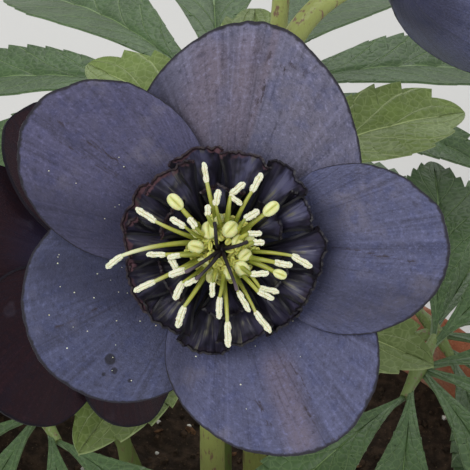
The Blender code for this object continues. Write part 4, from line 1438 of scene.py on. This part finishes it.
class HELLEBORE_OT_pot(bpy.types.Operator):
    """Adds the turned clay pot with its drain holes"""

    bl_idname = "hellebore.pot"
    bl_label = "Pot"

    def execute(self, context):
        inner_rim = POT_RIM_RADIUS - POT_WALL
        under_collar = POT_HEIGHT - POT_COLLAR_HEIGHT
        wall_top = POT_RIM_RADIUS - POT_COLLAR_STEP
        profile = [
            (0, POT_FLOOR),
            (POT_FOOT_RADIUS - POT_WALL, POT_FLOOR),
            (inner_rim - 1, POT_HEIGHT - POT_LIP),
            (inner_rim + 1, POT_HEIGHT),
            (POT_RIM_RADIUS - 1.5, POT_HEIGHT),
            (POT_RIM_RADIUS, POT_HEIGHT - 2),
            (POT_RIM_RADIUS - 1, under_collar + 1),
            (wall_top - 2, under_collar - 1),
            (POT_FOOT_RADIUS + 1, 2),
            (POT_FOOT_RADIUS - 1, 0),
            (0, 0),
        ]
        pot = lathe(self.rings(rounded(profile, 1.6, 4)), POT_SIDES)
        for i in range(DRAIN_COUNT):
            self.drain(pot, polar(30 + 360 * i / DRAIN_COUNT, DRAIN_RING, POT_FLOOR / 2) * MM)
        settle(pot, "clay_pot", fired_clay(), "pot")
        return {"FINISHED"}

    def rings(self, profile):
        """The profile with faint turning rings on its long straight walls."""
        ringed = [profile[0]]
        for (r0, z0), (r1, z1) in zip(profile, profile[1:]):
            steps = max(1, round(abs(z1 - z0) / TURNING_GAP))
            for i in range(1, steps + 1):
                u = i / steps
                wobble = TURNING_DEPTH * math.sin(1.9 * i) if steps > 3 and 0 < u < 1 else 0
                ringed.append((r0 + (r1 - r0) * u + wobble, z0 + (z1 - z0) * u))
        return ringed

    def drain(self, pot, place):
        """Cuts one round drain hole through the pot's floor."""
        cutter = added(
            bpy.ops.mesh.primitive_cylinder_add,
            vertices=32, radius=DRAIN_RADIUS * MM, depth=(POT_FLOOR + 10) * MM, location=place,
        )
        modify(pot, "BOOLEAN", object=cutter, operation="DIFFERENCE", solver="EXACT")
        bpy.data.objects.remove(cutter)


def soil_radius(height):
    """The radius of the compost at this height, just inside the pot's wall."""
    low, high = POT_FOOT_RADIUS - POT_WALL, POT_RIM_RADIUS - POT_WALL - 1
    return low + (high - low) * (height - POT_FLOOR) / (POT_HEIGHT - POT_LIP - POT_FLOOR) - SOIL_WALL_GAP


def soil_height(x, y):
    """The height of the lumpy top of the compost."""
    inside = 1 - min(1, math.hypot(x, y) / soil_radius(SOIL_TOP)) ** 4
    lumps = math.sin(x / 5.1) * math.cos(y / 6.3) + 0.6 * math.sin((x + y) / 3.4)
    clods = 1.1 * noise.noise(Vector((x, y, 0)) / 4.5) + 0.7 * noise.noise(Vector((x, y, 7)) / 1.9)
    return SOIL_TOP + inside * (SOIL_LUMP * lumps * 0.7 + 2) + clods * (0.4 + 0.6 * inside)


class HELLEBORE_OT_compost(bpy.types.Operator):
    """Adds the compost, and the loose bits that lie on it"""

    bl_idname = "hellebore.compost"
    bl_label = "Compost"

    def execute(self, context):
        look = context.scene.hellebore_pot
        bottom = POT_FLOOR + SOIL_GAP
        radius = soil_radius(SOIL_TOP)
        profile = [(radius * i / SOIL_RINGS, SOIL_TOP) for i in range(SOIL_RINGS + 1)]
        plug = lathe(profile + [(soil_radius(bottom), bottom), (0, bottom)], SOIL_SIDES)
        for corner in plug.data.vertices:
            if corner.co.z > (SOIL_TOP - 1) * MM:
                corner.co.z = soil_height(corner.co.x / MM, corner.co.y / MM) * MM
        settle(plug, "compost_bed", damp_compost("damp_compost", look.compost, "43352A"), "soil")
        draw = random.Random(21)
        bits = (
            ("compost_crumbs", look.crumbs, (0.9, 2.3), (1, 0.9, 0.75), look.compost, "4D3D30"),
            ("bark_chips", 70, (2.0, 4.6), (1, 0.45, 0.25), linear("4A3324"), "7A5A40"),
            ("perlite_grains", 60, (0.7, 1.5), (1, 1, 0.9), linear("D8D3C8"), "F0EDE6"),
        )
        for name, count, sizes, stretch_by, base, pale in bits:
            master = added(bpy.ops.mesh.primitive_uv_sphere_add, segments=6, ring_count=5, radius=0.5)
            for corner in master.data.vertices:
                rough = 1 + 0.45 * noise.noise(corner.co * 5 + Vector((count, 0, 0)))
                corner.co = Vector(part * by * rough for part, by in zip(corner.co, stretch_by))
            places = []
            for _ in range(count):
                spot = polar(draw.uniform(0, 360), (radius - 4) * math.sqrt(draw.random()))
                size = draw.uniform(*sizes)
                spot.z = soil_height(spot.x, spot.y) + size * 0.12
                turn = Matrix.Rotation(draw.uniform(0, 2 * math.pi), 4, "Z")
                turn = turn @ Matrix.Rotation(draw.uniform(-0.6, 0.6), 4, "X")
                places.append(Matrix.Translation(spot * MM) @ turn @ Matrix.Scale(size * MM, 4))
            settle(strewn(master, places), name, damp_compost(name, base, pale), "soil")
        return {"FINISHED"}


class HELLEBORE_OT_pollen(bpy.types.Operator):
    """Adds the pollen grains that have fallen on the best bloom"""

    bl_idname = "hellebore.pollen"
    bl_label = "Fallen pollen"

    def execute(self, context):
        draw = random.Random(14)
        best = BLOOMS["bloom_1"]
        master = added(bpy.ops.mesh.primitive_ico_sphere_add, subdivisions=1, radius=1)
        for corner in master.data.vertices:
            corner.co *= 1 + 0.3 * noise.noise(corner.co * 3)
        places = []
        # Most grains lie on the lower left sepal, under the longest stamens.
        for number, count in ((4, 42), (3, 8), (5, 10)):
            on_sepal = sepal_place(BEST_SEPALS[number - 1], best["cup"], 10 * number + 7)
            for _ in range(count):
                s, t = draw.uniform(0.5, 0.9), draw.uniform(-0.75, 0.75)
                spot = Matrix.Translation(on_sepal(s, t) + Vector((0, 0, SEPAL_THICKNESS / 2 + 0.03)))
                size = draw.uniform(0.07, 0.17)
                places.append(best["frame"] @ spot @ Matrix.Diagonal((size, size * 0.8, size * 0.6, 1)))
        settle(strewn(master, places), "bloom_1_fallen_pollen", pollen_coat(), "bloom_1_stamens")
        return {"FINISHED"}


class HELLEBORE_OT_stage(bpy.types.Operator):
    """Adds the floor, the light and the camera"""

    bl_idname = "hellebore.stage"
    bl_label = "Stage"

    def execute(self, context):
        look = context.scene.hellebore_stage
        best = BLOOMS["bloom_1"]["frame"]
        self.floor(look)
        bpy.ops.world.new()
        world = bpy.data.worlds[-1]
        context.scene.world = world
        background = world.node_tree.nodes["Background"]
        background.inputs["Color"].default_value = (*linear("EEF1F5"), 1)
        background.inputs["Strength"].default_value = look.sky
        self.light("key_light", Vector((-1.5, -1.8, 3.3)), look.key, 2.2)
        self.light("fill_light", Vector((2.6, -0.8, 2.0)), look.key * 0.3, 2.4)
        self.light("back_light", Vector((0.3, 2.9, 1.8)), look.key * 0.35, 2.4)
        self.camera(best)
        context.scene.view_settings.view_transform = "Standard"
        return {"FINISHED"}

    def floor(self, look):
        """A wide pale floor with the faintest unevenness."""
        floor = added(bpy.ops.mesh.primitive_plane_add, size=16)
        floor.name = "floor"
        floor.data.materials.append(painted_floor(look.floor))

    def light(self, name, place, power, size):
        """A square area light that looks at the plant."""
        target = Vector((0, 0, 0.28))
        turn = (target - place).to_track_quat("-Z", "Y").to_euler()
        bpy.ops.object.light_add(type="AREA", location=place, rotation=turn)
        made = bpy.context.active_object
        made.name = name
        made.data.energy = power
        made.data.size = size

    def camera(self, best):
        """The camera in front of the best bloom, square to its face."""
        across, up = VIEW_SHIFT
        tilt = math.atan2(-BEST_FACING[1], BEST_FACING[2])
        place = best @ Vector((across, up, 0)) + best.to_3x3().normalized() @ Vector((0, 0, VIEW_DISTANCE))
        bpy.ops.object.camera_add(location=place, rotation=(tilt, 0, 0))
        camera = bpy.context.active_object
        camera.name = "camera"
        camera.data.sensor_fit = "HORIZONTAL"
        camera.data.angle = 2 * math.atan(VIEW_WIDTH / 2 / VIEW_DISTANCE)
        camera.data.clip_start = 0.01
        bpy.context.scene.camera = camera


STEPS = (
    HELLEBORE_OT_pot,
    HELLEBORE_OT_compost,
    HELLEBORE_OT_leaves,
    HELLEBORE_OT_stems,
    HELLEBORE_OT_bud,
    HELLEBORE_OT_sepals,
    HELLEBORE_OT_nectaries,
    HELLEBORE_OT_stamens,
    HELLEBORE_OT_carpels,
    HELLEBORE_OT_pollen,
    HELLEBORE_OT_stage,
)


class HELLEBORE_PT_panel(bpy.types.Panel):
    """Lists the steps that dress the plant, and their settings"""

    bl_idname = "HELLEBORE_PT_panel"
    bl_label = "Potted hellebore"
    bl_space_type = "VIEW_3D"
    bl_region_type = "UI"
    bl_category = "Hellebore"

    def draw(self, context):
        for step in STEPS:
            self.layout.operator(step.bl_idname)
        for name, group in SETTINGS.items():
            box = self.layout.box()
            box.label(text=name.split("_")[1].capitalize())
            for key in group.__annotations__:
                box.prop(getattr(context.scene, name), key)


def register():
    """Adds the settings, the steps and the panel to Blender."""
    for group in (*SETTINGS.values(), *STEPS, HELLEBORE_PT_panel):
        bpy.utils.register_class(group)
    for name, group in SETTINGS.items():
        setattr(bpy.types.Scene, name, PointerProperty(type=group))


def unregister():
    """Takes them away again."""
    for name in SETTINGS:
        delattr(bpy.types.Scene, name)
    for group in (HELLEBORE_PT_panel, *reversed(STEPS), *reversed(SETTINGS.values())):
        bpy.utils.unregister_class(group)


def main():
    """Registers the steps, dresses the plant and sets the stage."""
    register()
    for step in STEPS:
        group, action = step.bl_idname.split(".")
        getattr(getattr(bpy.ops, group), action)()
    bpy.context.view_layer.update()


if __name__ == "__main__":
    main()
